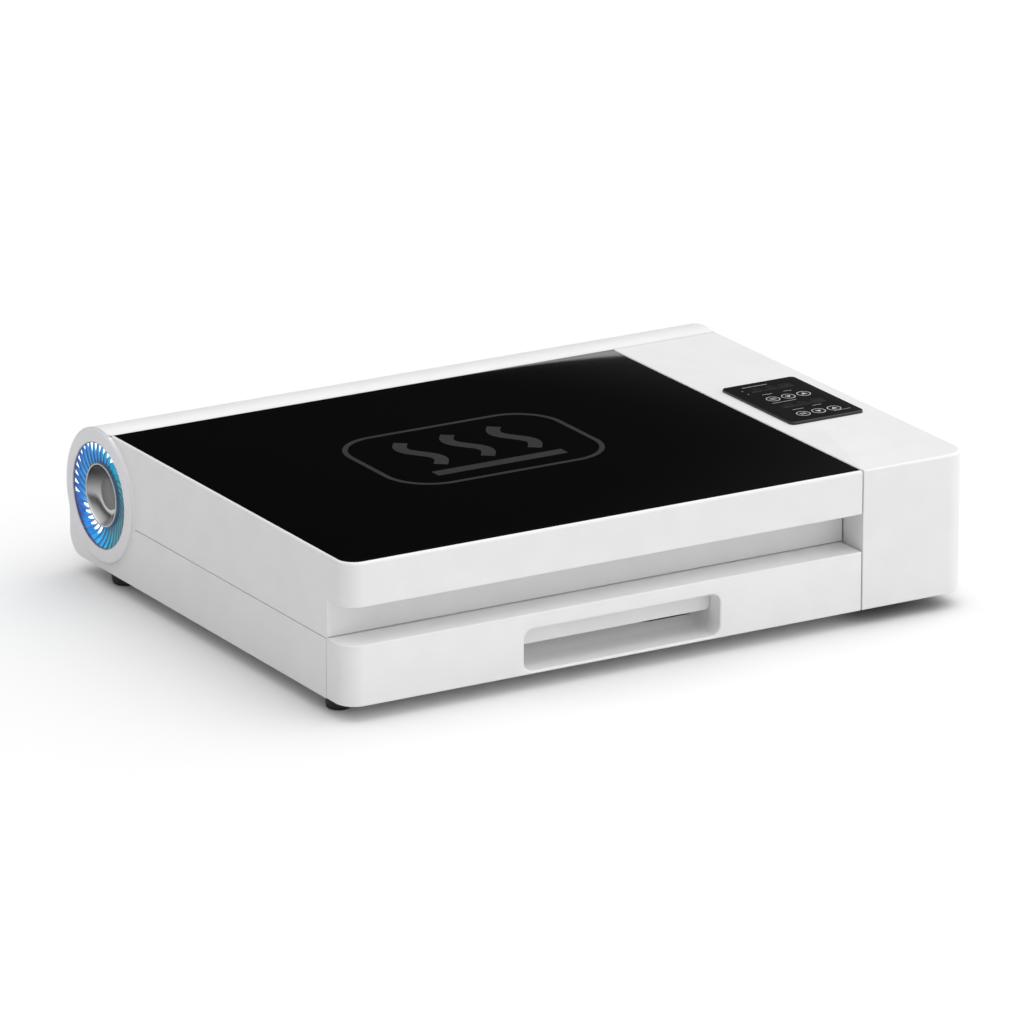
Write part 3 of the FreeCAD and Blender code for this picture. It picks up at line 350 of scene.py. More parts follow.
whiteShell = plain("satinWhiteShell", (0.765, 0.765, 0.769), (0.785, 0.785, 0.787), (0.40, 0.43), 5200, 0.03)
blackRubber = plain("blackRubber", (0.012, 0.012, 0.012), (0.02, 0.02, 0.021), (0.55, 0.7), 1800, 0.35)
charcoal = plain("charcoalGloss", (0.009, 0.0095, 0.010), (0.011, 0.0115, 0.012), (0.16, 0.22), 900, 0.02)
blackPlastic = plain("blackMoulding", (0.018, 0.018, 0.02), (0.028, 0.028, 0.03), (0.42, 0.52), 2200, 0.25)
motorMetal = plain("motorCase", (0.10, 0.10, 0.11), (0.14, 0.14, 0.15), (0.3, 0.4), 1500, 0.1, metallic=1.0)
ceramicFibre = plain("ceramicFibre", (0.72, 0.70, 0.64), (0.82, 0.80, 0.75), (0.85, 0.95), 500, 0.8)
ceramicBody = plain("ceramicHolder", (0.62, 0.60, 0.54), (0.70, 0.68, 0.62), (0.6, 0.7), 900, 0.3)
carbonCloth = plain("carbonFilter", (0.015, 0.015, 0.015), (0.04, 0.04, 0.04), (0.8, 0.95), 700, 0.8)


# brushed metal: fine noise stretched along one axis
def brushed(name, tone, roughness, stretch, strength=0.15):
    material, tree, shader, place = newMaterial(name)
    along = addNode(tree, "Mapping", {"Vector": place, "Scale": stretch}).outputs["Vector"]
    feed(tree, shader, {"Metallic": 1.0, "Normal": grain(tree, along, 60, strength, 0.0001, 4),
                        "Base Color": softColor(tree, place, 18, tone, tuple(c * 1.06 for c in tone)),
                        "Roughness": softValue(tree, place, 25, roughness)})
    return material


steelSheet = brushed("brushedSteelSheet", (0.55, 0.56, 0.57), (0.28, 0.36), (1, 30, 30))
railSteel = brushed("zincRail", (0.62, 0.63, 0.65), (0.22, 0.3), (30, 1, 30))
aluminium = brushed("brushedAluminium", (0.68, 0.69, 0.70), (0.3, 0.38), (1, 30, 30))
probeSteel = brushed("probeSteel", (0.5, 0.5, 0.52), (0.2, 0.28), (30, 1, 30), 0.08)
screwSteel = brushed("screwSteel", (0.45, 0.46, 0.48), (0.25, 0.35), (20, 20, 1), 0.1)
rackChrome = plain("brightWire", (0.66, 0.66, 0.68), (0.72, 0.72, 0.73), (0.1, 0.16), 800, 0.02, metallic=1.0)
chrome = plain("polishedHub", (0.50, 0.50, 0.50), (0.55, 0.55, 0.55), (0.10, 0.14), 900, 0.01, metallic=1.0)
# painted highlight: a pale, non-metallic grey for the chrome hub's lip, standing in for the shine of its
# polished edge
brightEdge = plain("brightEdge", (0.60, 0.60, 0.61), (0.68, 0.68, 0.69), (0.3, 0.36), 1500, 0.05)
hubFace = plain("hubFace", (0.17, 0.17, 0.17), (0.19, 0.19, 0.19), (0.35, 0.45), 1500, 0.05)
keyCap = plain("keyCap", (0.011, 0.0115, 0.012), (0.014, 0.0145, 0.015), (0.2, 0.26), 1200, 0.02)
boardGreen = plain("circuitBoard", (0.012, 0.10, 0.045), (0.016, 0.14, 0.06), (0.3, 0.4), 700, 0.2,
                   colorScale=160)
displaySmoke = plain("smokedWindow", (0.013, 0.013, 0.0135), (0.016, 0.016, 0.0165), (0.12, 0.18), 900, 0.01)
quartz = plain("frostedQuartz", (0.80, 0.76, 0.70), (0.86, 0.83, 0.78), (0.15, 0.25), 600, 0.05)
paleInk = plain("paleInk", (0.50, 0.50, 0.49), (0.56, 0.56, 0.55), (0.45, 0.5), 1500, 0.02)
captionInk = plain("captionInk", (0.30, 0.30, 0.295), (0.34, 0.34, 0.335), (0.45, 0.5), 1500, 0.02)
figureInk = plain("figureInk", (0.022, 0.022, 0.022), (0.026, 0.026, 0.026), (0.3, 0.35), 1500, 0.02)
glassInk = plain("printedGrey", (0.026, 0.026, 0.025), (0.030, 0.030, 0.029), (0.45, 0.5), 1500, 0.02,
                 specular=0.1)
lensOlive = plain("oliveLens", (0.17, 0.19, 0.09), (0.20, 0.22, 0.11), (0.2, 0.3), 900, 0.02)
ringWhite = plain("ringWhite", (0.765, 0.76, 0.78), (0.785, 0.78, 0.797), (0.42, 0.46), 5200, 0.03)


def makeGlassMaterial():
    material, tree, shader, place = newMaterial("blackTopGlass")
    feed(tree, shader, {"Base Color": (0.0012, 0.0012, 0.0014, 1), "IOR": 1.5, "Specular IOR Level": 0.2,
                        "Normal": grain(tree, place, 40, 0.004, 0.0005),
                        "Roughness": softValue(tree, place, 12, (0.05, 0.08))})
    return material


# the fan at the left end; the vane noses lean back from the mouth to the hub
fan = lengths(mouth=50, outerRound=2.8, mouthRound=1.2, flare=2.4, hub=29.4, hubLip=0.9, hubNose=1.0,
              lipHalf=0.55, face=15.1, dish=8.4, vaneRoot=1.6, vaneStart=-2.5, vaneDepth=14, vaneHalf=0.62,
              throat=16, rimStart=-3.1, rimWidth=0.8, noseShade=2.2, diffuserGap=1.5, diffuserThick=2)
fan.update(flareStart=152, flareRise=22, flareStop=344, flareFall=14, vanes=36, sweep=18, sweepPower=1.3,
           pitch=4)
# painted light: hubBack, mouthBack, hubSide and mouthSide colour the light painted on the vanes; near, far and
# reach serve the diffuser too
glow = lengths(near=30, far=50, reach=45)
glow.update(hubBack=(0.0, 0.46, 1.0), mouthBack=(0.0, 0.08, 0.44),
            hubSide=[(0.4, (0.0, 0.22, 0.60)), (0.75, (0.0, 0.30, 0.40)), (1.0, (0.0, 0.38, 0.42))],
            mouthSide=[(0.35, (0.01, 0.36, 0.88)), (0.75, (0.0, 0.46, 0.58)), (1.0, (0.0, 0.52, 0.56))])


# painted light in the fan: emission from one colour ramp near the hub and one near the mouth, both from the
# back to the front; the vanes are no lamps, so on them it is painted light, on the diffuser it is the lamp's
# own level = strength * ripple, with painted shade dark at the vane noses; depth behind a nose = place along
# the tube + lean * radius
def makeGlow(name, inner, outer, strength, lean=0.0, edge=None):
    material, tree, shader, place = newMaterial(name)
    split = addNode(tree, "SeparateXYZ", {"Vector": place}).outputs
    across = mapRange(tree, split["Y"], ductY + glow["reach"], ductY - glow["reach"])
    centred = addNode(tree, "VectorMath", {0: place, 1: (0, ductY, ductZ)}, operation="SUBTRACT").outputs[0]
    flat = addNode(tree, "VectorMath", {0: centred, 1: (0, 1, 1)}, operation="MULTIPLY").outputs[0]
    radius = addNode(tree, "VectorMath", {0: flat}, operation="LENGTH").outputs["Value"]
    level = mapRange(tree, noise(tree, place, 130), 0.3, 0.7, strength * 0.75, strength * 1.25)
    if edge is not None:
        nose = edge + lean * fan["hub"]
        behind = arith(tree, "MULTIPLY_ADD", radius, lean, split["X"])
        level = arith(tree, "MULTIPLY", level, mapRange(tree, behind, nose, nose + fan["noseShade"]))
    color = blend(tree, mapRange(tree, radius, glow["near"], glow["far"]), ramp(tree, across, inner),
                  ramp(tree, across, outer))
    feed(tree, shader, {"Roughness": 0.3, "Emission Color": color, "Emission Strength": level,
                        "Base Color": softColor(tree, place, 60, (0.13, 0.11, 0.17), (0.19, 0.17, 0.22))})
    return material


# a colour that changes between two places along one axis
def graded(name, axis, start, stop, first, second, roughness, metallic=0.0):
    material, tree, shader, place = newMaterial(name)
    along = addNode(tree, "SeparateXYZ", {"Vector": place}).outputs[axis]
    share = mapRange(tree, along, start, stop, kind="SMOOTHSTEP")
    feed(tree, shader, {"Metallic": metallic, "Base Color": blend(tree, share, (*first, 1), (*second, 1)),
                        "Normal": grain(tree, place, 3000, 0.03),
                        "Roughness": softValue(tree, place, 40, roughness)})
    return material


# painted highlight: a glowing pale blue for the bright patches of light on the fan vanes; it is no lamp
def makePaintedHighlightMaterial():
    material = plain("hotSpots", (0.5, 0.6, 0.7), (0.6, 0.7, 0.8), (0.4, 0.5), 900, 0.02)
    tree = material.node_tree
    feed(tree, tree.nodes["Principled BSDF"],
         {"Emission Color": (0.72, 0.92, 1.0, 1), "Emission Strength": 1.5})
    return material


# painted shade: the pull cup's colour runs from white to grey deeper in the recess, standing in for the shade
# inside it
cupShade = graded("cupShade", "Y", front + 14 * mm, front + 32 * mm, (0.79, 0.79, 0.79), (0.50, 0.50, 0.50),
                  (0.42, 0.5))
# painted reflection: the polished hub's colour runs from pale at the bottom to nearly black at the top,
# standing in for what it reflects
hubChrome = graded("hubChrome", "Z", ductZ - 20 * mm, ductZ + 20 * mm, (0.62, 0.62, 0.63),
                   (0.04, 0.04, 0.042), (0.24, 0.3), metallic=1.0)
hotSpots = makePaintedHighlightMaterial()
blackGlass = makeGlassMaterial()
# painted light: the vanes glow blue though they are no lamps, and are painted dark at their noses as shade
vaneGlow = makeGlow("vaneGlow", [(0.0, glow["hubBack"]), *glow["hubSide"]],
                    [(0.0, glow["mouthBack"]), *glow["mouthSide"]], 1.0,
                    lean=(fan["vaneRoot"] - fan["vaneStart"]) / (fan["mouth"] - fan["hub"]),
                    edge=left + fan["vaneRoot"] + 0.4 * mm)
diffuserGlow = makeGlow("diffuserGlow",
                        [(0.0, (0.02, 0.45, 1.0)), (0.5, (0.02, 0.40, 0.8)), (1.0, (0.0, 0.16, 0.2))],
                        [(0.0, (0.5, 0.8, 1.0)), (0.5, (0.3, 0.7, 1.0)), (1.0, (0.0, 0.25, 0.3))], 1.2)
print("materials made")

# every node of the frame gets the material of its slot
slotMaterials = {
    "white_plastic": whiteShell, "black_glass": blackGlass, "rubber": blackRubber, "charcoal_panel": charcoal,
    "key_cap": keyCap, "display_window": displaySmoke, "indicator_lens": lensOlive, "chrome_hub": chrome,
    "vane_plastic": vaneGlow, "light_diffuser": diffuserGlow, "black_plastic": blackPlastic,
    "motor_metal": motorMetal, "carbon_filter": carbonCloth, "duct_aluminium": aluminium,
    "steel_sheet": steelSheet, "rail_steel": railSteel, "rack_wire": rackChrome,
    "ceramic_fibre": ceramicFibre, "quartz": quartz, "ceramic_holder": ceramicBody,
    "probe_steel": probeSteel, "circuit_board": boardGreen, "screw_steel": screwSteel}
slots = {part["node"]: part["material_slot"] for part in frame["record"]["subparts"]}
for name, node in frame["nodes"].items():
    node.data.materials.clear()
    node.data.materials.append(slotMaterials[slots[name]])


# camera and light
def makeCamera():
    view = {"azimuth": -30.6427, "elevation": 18.0403, "roll": 0.0830,
            "lens": 297.92, "eye": (-3.4355, -6.0829, 2.4570)}
    camera = bpy.data.objects.new("camera", bpy.data.cameras.new("camera"))
    bpy.context.scene.collection.objects.link(camera)
    bpy.context.scene.camera = camera
    az, el, roll = (math.radians(view[k]) for k in ("azimuth", "elevation", "roll"))
    back = np.array([math.sin(az) * math.cos(el), -math.cos(az) * math.cos(el), math.sin(el)])
    right = np.array([math.cos(az), math.sin(az), 0.0])
    up = np.cross(back, right)
    r = math.cos(roll) * right + math.sin(roll) * up
    u = -math.sin(roll) * right + math.cos(roll) * up
    eye = np.array(view["eye"]) + np.array([left, front, under])
    camera.matrix_world = Matrix(((r[0], u[0], back[0], eye[0]), (r[1], u[1], back[1], eye[1]),
                                  (r[2], u[2], back[2], eye[2]), (0, 0, 0, 1)))
    camera.data.sensor_width = 36
    camera.data.lens = view["lens"]
    camera.data.clip_end = 60


makeCamera()


def makeStudio():
    studio = {"floorHalf": 30, "zenith": 1.82, "side": 0.20, "towardFront": 0.20, "towardRight": 0.66,
              "dark": (0.25, 0.915, 0.315), "darkInner": 0.955, "darkOuter": 0.775, "least": 0.04,
              "darkLevel": 0.02}
    h = studio["floorHalf"]
    mesh = bpy.data.meshes.new("floor")
    mesh.from_pydata([(-h, -h, 0), (h, -h, 0), (h, h, 0), (-h, h, 0)], [], [(0, 1, 2, 3)])
    ground = bpy.data.objects.new("floor", mesh)
    bpy.context.scene.collection.objects.link(ground)
    mesh.materials.append(plain("paleFloor", (0.84, 0.84, 0.84), (0.85, 0.85, 0.85), (0.9, 0.95), 3, 0.0,
                                specular=0.05, colorScale=2))

    # sky level = side + slope along the direction, higher above, in front and at the right; a soft dark
    # patch behind the object keeps the top glass black
    world = bpy.data.worlds.new("studio")
    bpy.context.scene.world = world
    world.use_nodes = True
    tree = world.node_tree
    ray = addNode(tree, "TexCoord").outputs["Generated"]

    def toward(direction):
        return addNode(tree, "VectorMath", {0: ray, 1: direction}, operation="DOT_PRODUCT").outputs["Value"]

    slope = (studio["towardRight"], -studio["towardFront"], studio["zenith"] - studio["side"])
    level = arith(tree, "MAXIMUM", arith(tree, "ADD", toward(slope), studio["side"]), studio["least"])
    patch = mapRange(tree, toward(studio["dark"]), studio["darkOuter"], studio["darkInner"], 1.0,
                     studio["darkLevel"], "SMOOTHSTEP")
    feed(tree, tree.nodes["Background"],
         {"Color": (1, 1, 1, 1), "Strength": arith(tree, "MULTIPLY", level, patch)})
    bpy.context.scene.view_settings.view_transform = "Standard"


makeStudio()
print("camera and studio made")

# hood: an upper block that hangs over the slot, on walls that stand back
hood = lengths(corner=19, topRound=2.8, lowRound=1.2, glassInset=3, recess=1.2, slotTop=91.4,
               slotDepth=33.4, slotBottom=57, seam=55.9, wall=2.6, seamRound=0.4, partingEdge=0.6,
               opening=57)


# the left wall ends at the round opening of the fan end: y = duct axis - root(opening^2 - height^2)
def openRound(heights):
    reach = np.sqrt(np.maximum(hood["opening"] ** 2 - (heights - ductZ) ** 2, 0))
    return np.where(reach > 0, np.minimum(fold, ductY - reach), fold)


# hood: walls swept along the outline, point = outline - inset * normal, rounded at the top and the lower lip
def makeHood():
    slotBack = front + hood["slotDepth"]
    corners = [(left, fold), (left, slotBack + 0.02 * mm), (left, slotBack), (left, front),
               (hoodRight, front), (hoodRight, slotBack), (hoodRight, fold)]
    radii = [0, 0, 0, hood["corner"], hood["partingEdge"], 0, 0]
    places, normals = outline(corners, radii, closed=False, steps=20)
    low, top = under + hood["slotTop"], topPlane
    a, b = quarter(1.0, 5)
    c, d = quarter(hood["topRound"], 8)
    # the lower edge is rounded only where it hangs over the slot
    hangs = (places[:, 1] < slotBack + 0.01 * mm)[:, None] * hood["lowRound"]
    # the top edge is rounded at the left and the front, nearly sharp at the parting gap
    soft = np.where(normals[:, 0] > 0.5, 0.15, 1.0)[:, None]
    count = len(places)
    between = np.linspace(low + hood["lowRound"], top - hood["topRound"], 24)[1:-1]
    inset = np.hstack([hangs * (1 - a[::-1]), np.zeros((count, 22)), soft * (hood["topRound"] - c)[None],
                       np.full((count, 2), hood["glassInset"]) * soft])
    height = np.hstack([low + hangs * (1 - b[::-1]), np.tile(between, (count, 1)),
                        top - soft * (hood["topRound"] - d)[None],
                        np.tile([top - 0.02 * mm, top - hood["recess"]], (count, 1))])
    skin = Skin()
    upper = sweep(places, normals, inset, height)
    upper[0, :, 1] = openRound(upper[0, :, 2])
    skin.grid(upper, flip=True)
    # lower block: the slot's back wall and the left side
    corners = [(left, fold), (left, slotBack), (hoodRight, slotBack)]
    places, normals = outline(corners, [0, 0.8 * mm, 0], closed=False, steps=6)
    beside = places[:, 1] > slotBack + 0.75 * mm
    bottom = np.where(beside, under + hood["seam"], under + hood["slotBottom"])[:, None]
    e, f = quarter(hood["seamRound"], 3)
    inset = np.concatenate([[hood["wall"], hood["wall"]], hood["seamRound"] - e[::-1], np.zeros(24)])
    rise = np.concatenate([[20 * mm, 0], hood["seamRound"] - f[::-1]])
    share = np.linspace(0, 1, 25)[1:]
    foot = bottom + hood["seamRound"]
    height = np.hstack([bottom + rise, foot + (low - foot) * share])
    lower = sweep(places, normals, inset, height)
    lower[0, :, 1] = openRound(lower[0, :, 2])
    skin.grid(lower, flip=True)
    lip = upper[upper[:, 0, 1] < slotBack + 0.01 * mm][:, 0]
    skin.cap([*lip[::-1]])
    skin.build("hoodCasing", "white_plastic", whiteShell, replaced=["hood_shell"])


makeHood()

glass = {"corner": 15.6 * mm, "edge": 0.4 * mm}


# glass: the outline swept up its edge and over a small quarter round
def makeGlass():
    low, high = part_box("window_glass")
    corners = [(low.x, low.y), (high.x, low.y), (high.x, high.y), (low.x, high.y)]
    places, normals = outline(corners, [glass["corner"], 1 * mm, 1 * mm, 1 * mm])
    a, b = quarter(glass["edge"], 3)
    inset = np.concatenate([[0], glass["edge"] - a])
    height = np.concatenate([[low.z], high.z - glass["edge"] + b])
    grid = sweep(places, normals, inset, height).transpose(1, 0, 2)
    Skin().closed(grid).build("topGlass", "black_glass", blackGlass, replaced=["window_glass"])


makeGlass()

emblem = lengths(left=154.7, right=378.3, front=156, rear=313.3, corner=44, line=5, lift=0.03, thick=0.02,
                 wave=9, band=13, trayInset=44)
emblem.update(waves=3, waveLeft=0.28, wavePitch=0.22, waveFront=0.34, waveLength=0.46, trayFront=0.2)


# a flat mark with square edges: point = path + or - half * side direction, at two heights
def ribbon(skin, path, half, z, thick, closed=False):
    path = np.asarray(path, float)
    ahead = np.roll(path, -1, 0) - np.roll(path, 1, 0)
    if not closed:
        ahead[0], ahead[-1] = path[1] - path[0], path[-1] - path[-2]
    ahead /= np.linalg.norm(ahead, axis=1)[:, None]
    side = np.stack([ahead[:, 1], -ahead[:, 0]], -1) * half
    rightEdge, leftEdge = path + side, path - side
    rows = [np.column_stack([edge, np.full(len(edge), level)]) for edge, level in
            ((rightEdge, z), (rightEdge, z + thick), (leftEdge, z + thick), (leftEdge, z))]
    strip = np.array([*rows, rows[0]]).transpose(1, 0, 2)
    skin.grid(strip)
    if closed:
        skin.grid(strip[[-1, 0]])
    else:
        skin.cap([row[0] for row in rows]).cap([row[-1] for row in rows], flip=True)


# emblem: waves with x = middle + wave * sine(2 pi t), over a straight tray, inside a rounded frame
def makeEmblem():
    skin = Skin()
    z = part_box("window_glass")[1].z + emblem["lift"]
    x0, x1 = left + emblem["left"], left + emblem["right"]
    y0, y1 = front + emblem["front"], front + emblem["rear"]
    half = emblem["line"] / 2
    loop, _ = outline([(x0 + half, y0 + half), (x1 - half, y0 + half), (x1 - half, y1 - half),
                         (x0 + half, y1 - half)], [emblem["corner"]] * 4, steps=24)
    ribbon(skin, loop, half, z, emblem["thick"], closed=True)
    t = np.linspace(0, 1, 90)
    for k in range(emblem["waves"]):
        x = x0 + (x1 - x0) * (emblem["waveLeft"] + emblem["wavePitch"] * k)
        y = y0 + (y1 - y0) * (emblem["waveFront"] + emblem["waveLength"] * t)
        path = np.column_stack([x + emblem["wave"] * np.sin(2 * math.pi * t), y])
        ribbon(skin, path, emblem["band"] / 2, z, emblem["thick"])
    tray = y0 + (y1 - y0) * emblem["trayFront"]
    x = np.linspace(x0 + emblem["trayInset"], x1 - emblem["trayInset"], 12)
    base = np.column_stack([x, np.full(12, tray)])
    ribbon(skin, base, emblem["band"] / 2, z, emblem["thick"])
    skin.build("glassEmblem", "black_glass", glassInk, merge=1e-7)


makeEmblem()

column = lengths(corner=22, inner=0.8, topRound=2.8, lowRound=1.2, ventLow=20, ventHigh=48, ventWidth=5,
                 ventPitch=14, ventRound=2.4, ventSetback=60, wall=2.6, ventMargin=8, ventRim=0.4,
                 glassSide=0.5, fade=3)
column.update(vents=8)


# column: walls swept along the outline, point = outline - inset * normal, with a pierced panel for the vents
def makeColumn():
    low, top = under, topPlane
    corners = [(columnLeft, fold), (columnLeft, front), (rightSide, front), (rightSide, fold)]
    places, normals = outline(corners, [0, column["inner"], column["corner"], 0], closed=False, steps=22)
    # the top edge is rounded at the front and the right, and nearly sharp beside the glass
    share = np.clip((places[:, 0] - columnLeft) / column["fade"], 0, 1)[:, None]
    topRound = column["glassSide"] + (column["topRound"] - column["glassSide"]) * share
    a, b = quarter(1.0, 8)
    e, f = quarter(column["lowRound"], 4)
    inset = np.hstack([np.broadcast_to(column["lowRound"] - e[::-1], (len(places), len(e))),
                       topRound * (1 - a)[None, :]])
    height = np.hstack([np.broadcast_to(low + column["lowRound"] - f[::-1], (len(places), len(f))),
                        top - topRound + topRound * b[None, :]])
    last = fold - column["ventSetback"]
    startY = last - (column["vents"] - 1) * column["ventPitch"] - column["ventMargin"]
    start, stop = (rightSide, startY), (rightSide, last + column["ventWidth"] + column["ventMargin"])
    holes = []
    for k in range(column["vents"]):
        y = last - k * column["ventPitch"] - startY
        holes.append(roundedHole(y, y + column["ventWidth"], low + column["ventLow"],
                                 low + column["ventHigh"], column["ventRound"], steps=6))
    skin = Skin()
    wallsRound(skin, places, normals, inset, height, start, stop)
    pierced(skin, start, stop, low + column["lowRound"], top - column["topRound"], holes, column["ventRim"],
            column["wall"])
    skin.build("controlColumn", "white_plastic", whiteShell, replaced=["column_shell"])


makeColumn()
print("hood, glass and column made")

duct = lengths(fold=0.35, seam=55.9, endRound=2.8, front=0.3)


# duct: a cross-section drawn along x: a flat strip, a smooth fold up to the round crest, round to the back
# height = soft maximum of the top plane and axis height + root(radius^2 - distance from the axis^2)
def makeDuctShell():
    ys = np.linspace(fold + duct["front"], ductY, 60)
    crest = ductZ + np.sqrt(np.maximum(ductRadius ** 2 - (ys - ductY) ** 2, 0))
    k = duct["fold"]
    strip = np.minimum(np.logaddexp(crest / k, topPlane / k) * k, ductZ + ductRadius)
    turn = np.radians(np.linspace(0, 90, 70))[1:]
    base = under + duct["seam"]
    y = np.concatenate([ys, ductY + ductRadius * np.sin(turn), [rear]])
    z = np.concatenate([strip, ductZ + ductRadius * np.cos(turn), [base]])
    section = np.stack([y, z], -1)
    tangent = np.gradient(section, axis=0)
    tangent /= np.linalg.norm(tangent, axis=1)[:, None]
    normal = np.stack([-tangent[:, 1], tangent[:, 0]], -1)
    a, b = quarter(duct["endRound"], 8)
    end = rightSide - duct["endRound"]
    xs = np.concatenate([np.linspace(left, end, 12), end + b])
    inset = np.concatenate([np.zeros(12), duct["endRound"] - a])
    shape = section[None] - inset[:, None, None] * normal[None]
    shape[:, -1, 1] = base
    points = np.dstack([np.broadcast_to(xs[:, None], shape.shape[:2]), shape])
    skin = Skin().grid(points, flip=True)
    skin.cap([*points[-1], (rightSide, fold + duct["front"], base)], flip=True)
    skin.build("ductCasing", "white_plastic", whiteShell, replaced=["duct_shell"])


makeDuctShell()

drawer = lengths(corner=19, edge=1.2, side=0.8, depth=34.8, top=56.4, pullLeft=181, pullRight=385,
                 pullBottom=3, pullTop=42, pullCorner=9, rim=1.7, margin=8, cupDepth=31, barSetback=18,
                 barBottom=22, barEdge=1.0, barCorner=5, barThickness=2.2, cupFillet=13, skin=2.6)


# drawer front: walls swept round its outline, with a flat pierced panel round the finger pull
def makeDrawerFront():
    low, top = under, under + drawer["top"]
    back = front + drawer["depth"]
    corners = [(left, back), (left, front), (hoodRight, front), (hoodRight, back)]
    places, normals = outline(corners, [0, drawer["corner"], drawer["side"], 0], closed=False, steps=22)
    a, b = quarter(drawer["edge"], 5)
    inset = np.concatenate([drawer["edge"] - a[::-1], drawer["edge"] - a])
    height = np.concatenate([low + drawer["edge"] - b[::-1], top - drawer["edge"] + b])
    x0 = left + drawer["pullLeft"] - drawer["margin"]
    x1 = left + drawer["pullRight"] + drawer["margin"]
    start, stop = (x0, front), (x1, front)
    hole = roundedHole(drawer["margin"], x1 - x0 - drawer["margin"], low + drawer["pullBottom"],
                       low + drawer["pullTop"], drawer["pullCorner"], steps=12)
    skin = Skin()
    wallsRound(skin, places, normals, inset, height, start, stop)
    pierced(skin, start, stop, low + drawer["edge"], top - drawer["edge"], [hole], drawer["rim"],
            drawer["skin"] + 0.2 * mm)
    skin.build("drawerFace", "white_plastic", whiteShell, "drawer", replaced=["drawer_front"])


makeDrawerFront()


# pull: rings of one outline drawn inward, shrink = fillet * (1 - cosine) as depth grows by fillet * sine
def makePullCup():
    x0, x1 = left + drawer["pullLeft"], left + drawer["pullRight"]
    z0, z1 = under + drawer["pullBottom"], under + drawer["pullTop"]
    path, out = roundedHole(x0, x1, z0, z1, drawer["pullCorner"], steps=12)

    def ring(loop, away, depth, shrink):
        inner = loop - away * shrink
        return np.stack([inner[:, 0], np.full(len(inner), front + depth), inner[:, 1]], -1)

    fillet = drawer["cupFillet"]
    flat = drawer["cupDepth"] - fillet
    rows = [ring(path, out, drawer["skin"], 0), ring(path, out, flat, 0)]
    for t in np.radians(np.linspace(15, 90, 6)):
        rows.append(ring(path, out, flat + fillet * math.sin(t), fillet * (1 - math.cos(t))))
    # the cup carries the painted shade that greys it towards the back
    Skin().grid(np.array(rows), closed=True).cap(rows[-1]).build(
        "pullCup", "white_plastic", cupShade, "drawer", replaced=["pull_cup"])
    # the bar: a plate across the upper part, its lower edge rounded
    plate = [(x0, under + drawer["barBottom"]), (x1, under + drawer["barBottom"]), (x1, z1), (x0, z1)]
    edge, away = outline(plate, [drawer["barCorner"]] * 2 + [drawer["pullCorner"]] * 2, steps=12)
    r = drawer["barEdge"]
    rows = []
    for t in np.radians(np.linspace(0, 90, 6)):
        rows.append(ring(edge, away, drawer["barSetback"] + r * (1 - math.cos(t)), r * (1 - math.sin(t))))
    rows.append(ring(edge, away, drawer["barSetback"] + drawer["barThickness"], 0))
    skin = Skin().cap(rows[0]).grid(np.array(rows), closed=True).cap(rows[-1], flip=True)
    skin.build("pullBar", "white_plastic", whiteShell, "drawer")


makePullCup()
print("duct, drawer front and pull made")


# ring: throat, mouth edge, flat face, outer edge and side as one profile turned about the duct's axis
def makeRing():
    a, b = quarter(1.0, 8)
    r1, r2, mouth = fan["outerRound"], fan["mouthRound"], fan["mouth"]
    xs = np.concatenate([[left + fan["throat"]], ringFace + r2 * (1 - b), ringFace + r1 * (1 - b[::-1])])
    radii = np.concatenate([[mouth], mouth + r2 * (1 - a), ductRadius - r1 * (1 - a[::-1])])
    body = turnAboutDuct(xs, radii, 200)
    # the side wall runs out in a soft fillet, only where it meets the flat left side
    turn = np.degrees(np.linspace(0, 2 * math.pi, 200, endpoint=False))
    rise = np.clip((turn - fan["flareStart"]) / fan["flareRise"], 0, 1)
    share = rise * np.clip((fan["flareStop"] - turn) / fan["flareFall"], 0, 1)
    share = share * share * (3 - 2 * share)
    t = np.radians(np.linspace(0, 90, 8))
    reach = fan["flare"] * share
    radius = ductRadius + reach[None, :] * (1 - np.cos(t))[:, None]
    x = left - fan["flare"] + fan["flare"] * np.sin(t)[:, None] + 0 * radius
    angle = np.radians(turn)[None, :]
    skirt = np.dstack([x, ductY + radius * np.sin(angle), ductZ + radius * np.cos(angle)])
    skin = Skin().grid(np.concatenate([body, skirt]), closed=True)
    skin.build("fanRing", "white_plastic", ringWhite, replaced=["fan_ring"], smooth=50)


# where the vane fronts lie: distance along the tube grows from the mouth to the hub
def vaneNose(share):
    return left + fan["vaneRoot"] + (fan["vaneStart"] - fan["vaneRoot"]) * share


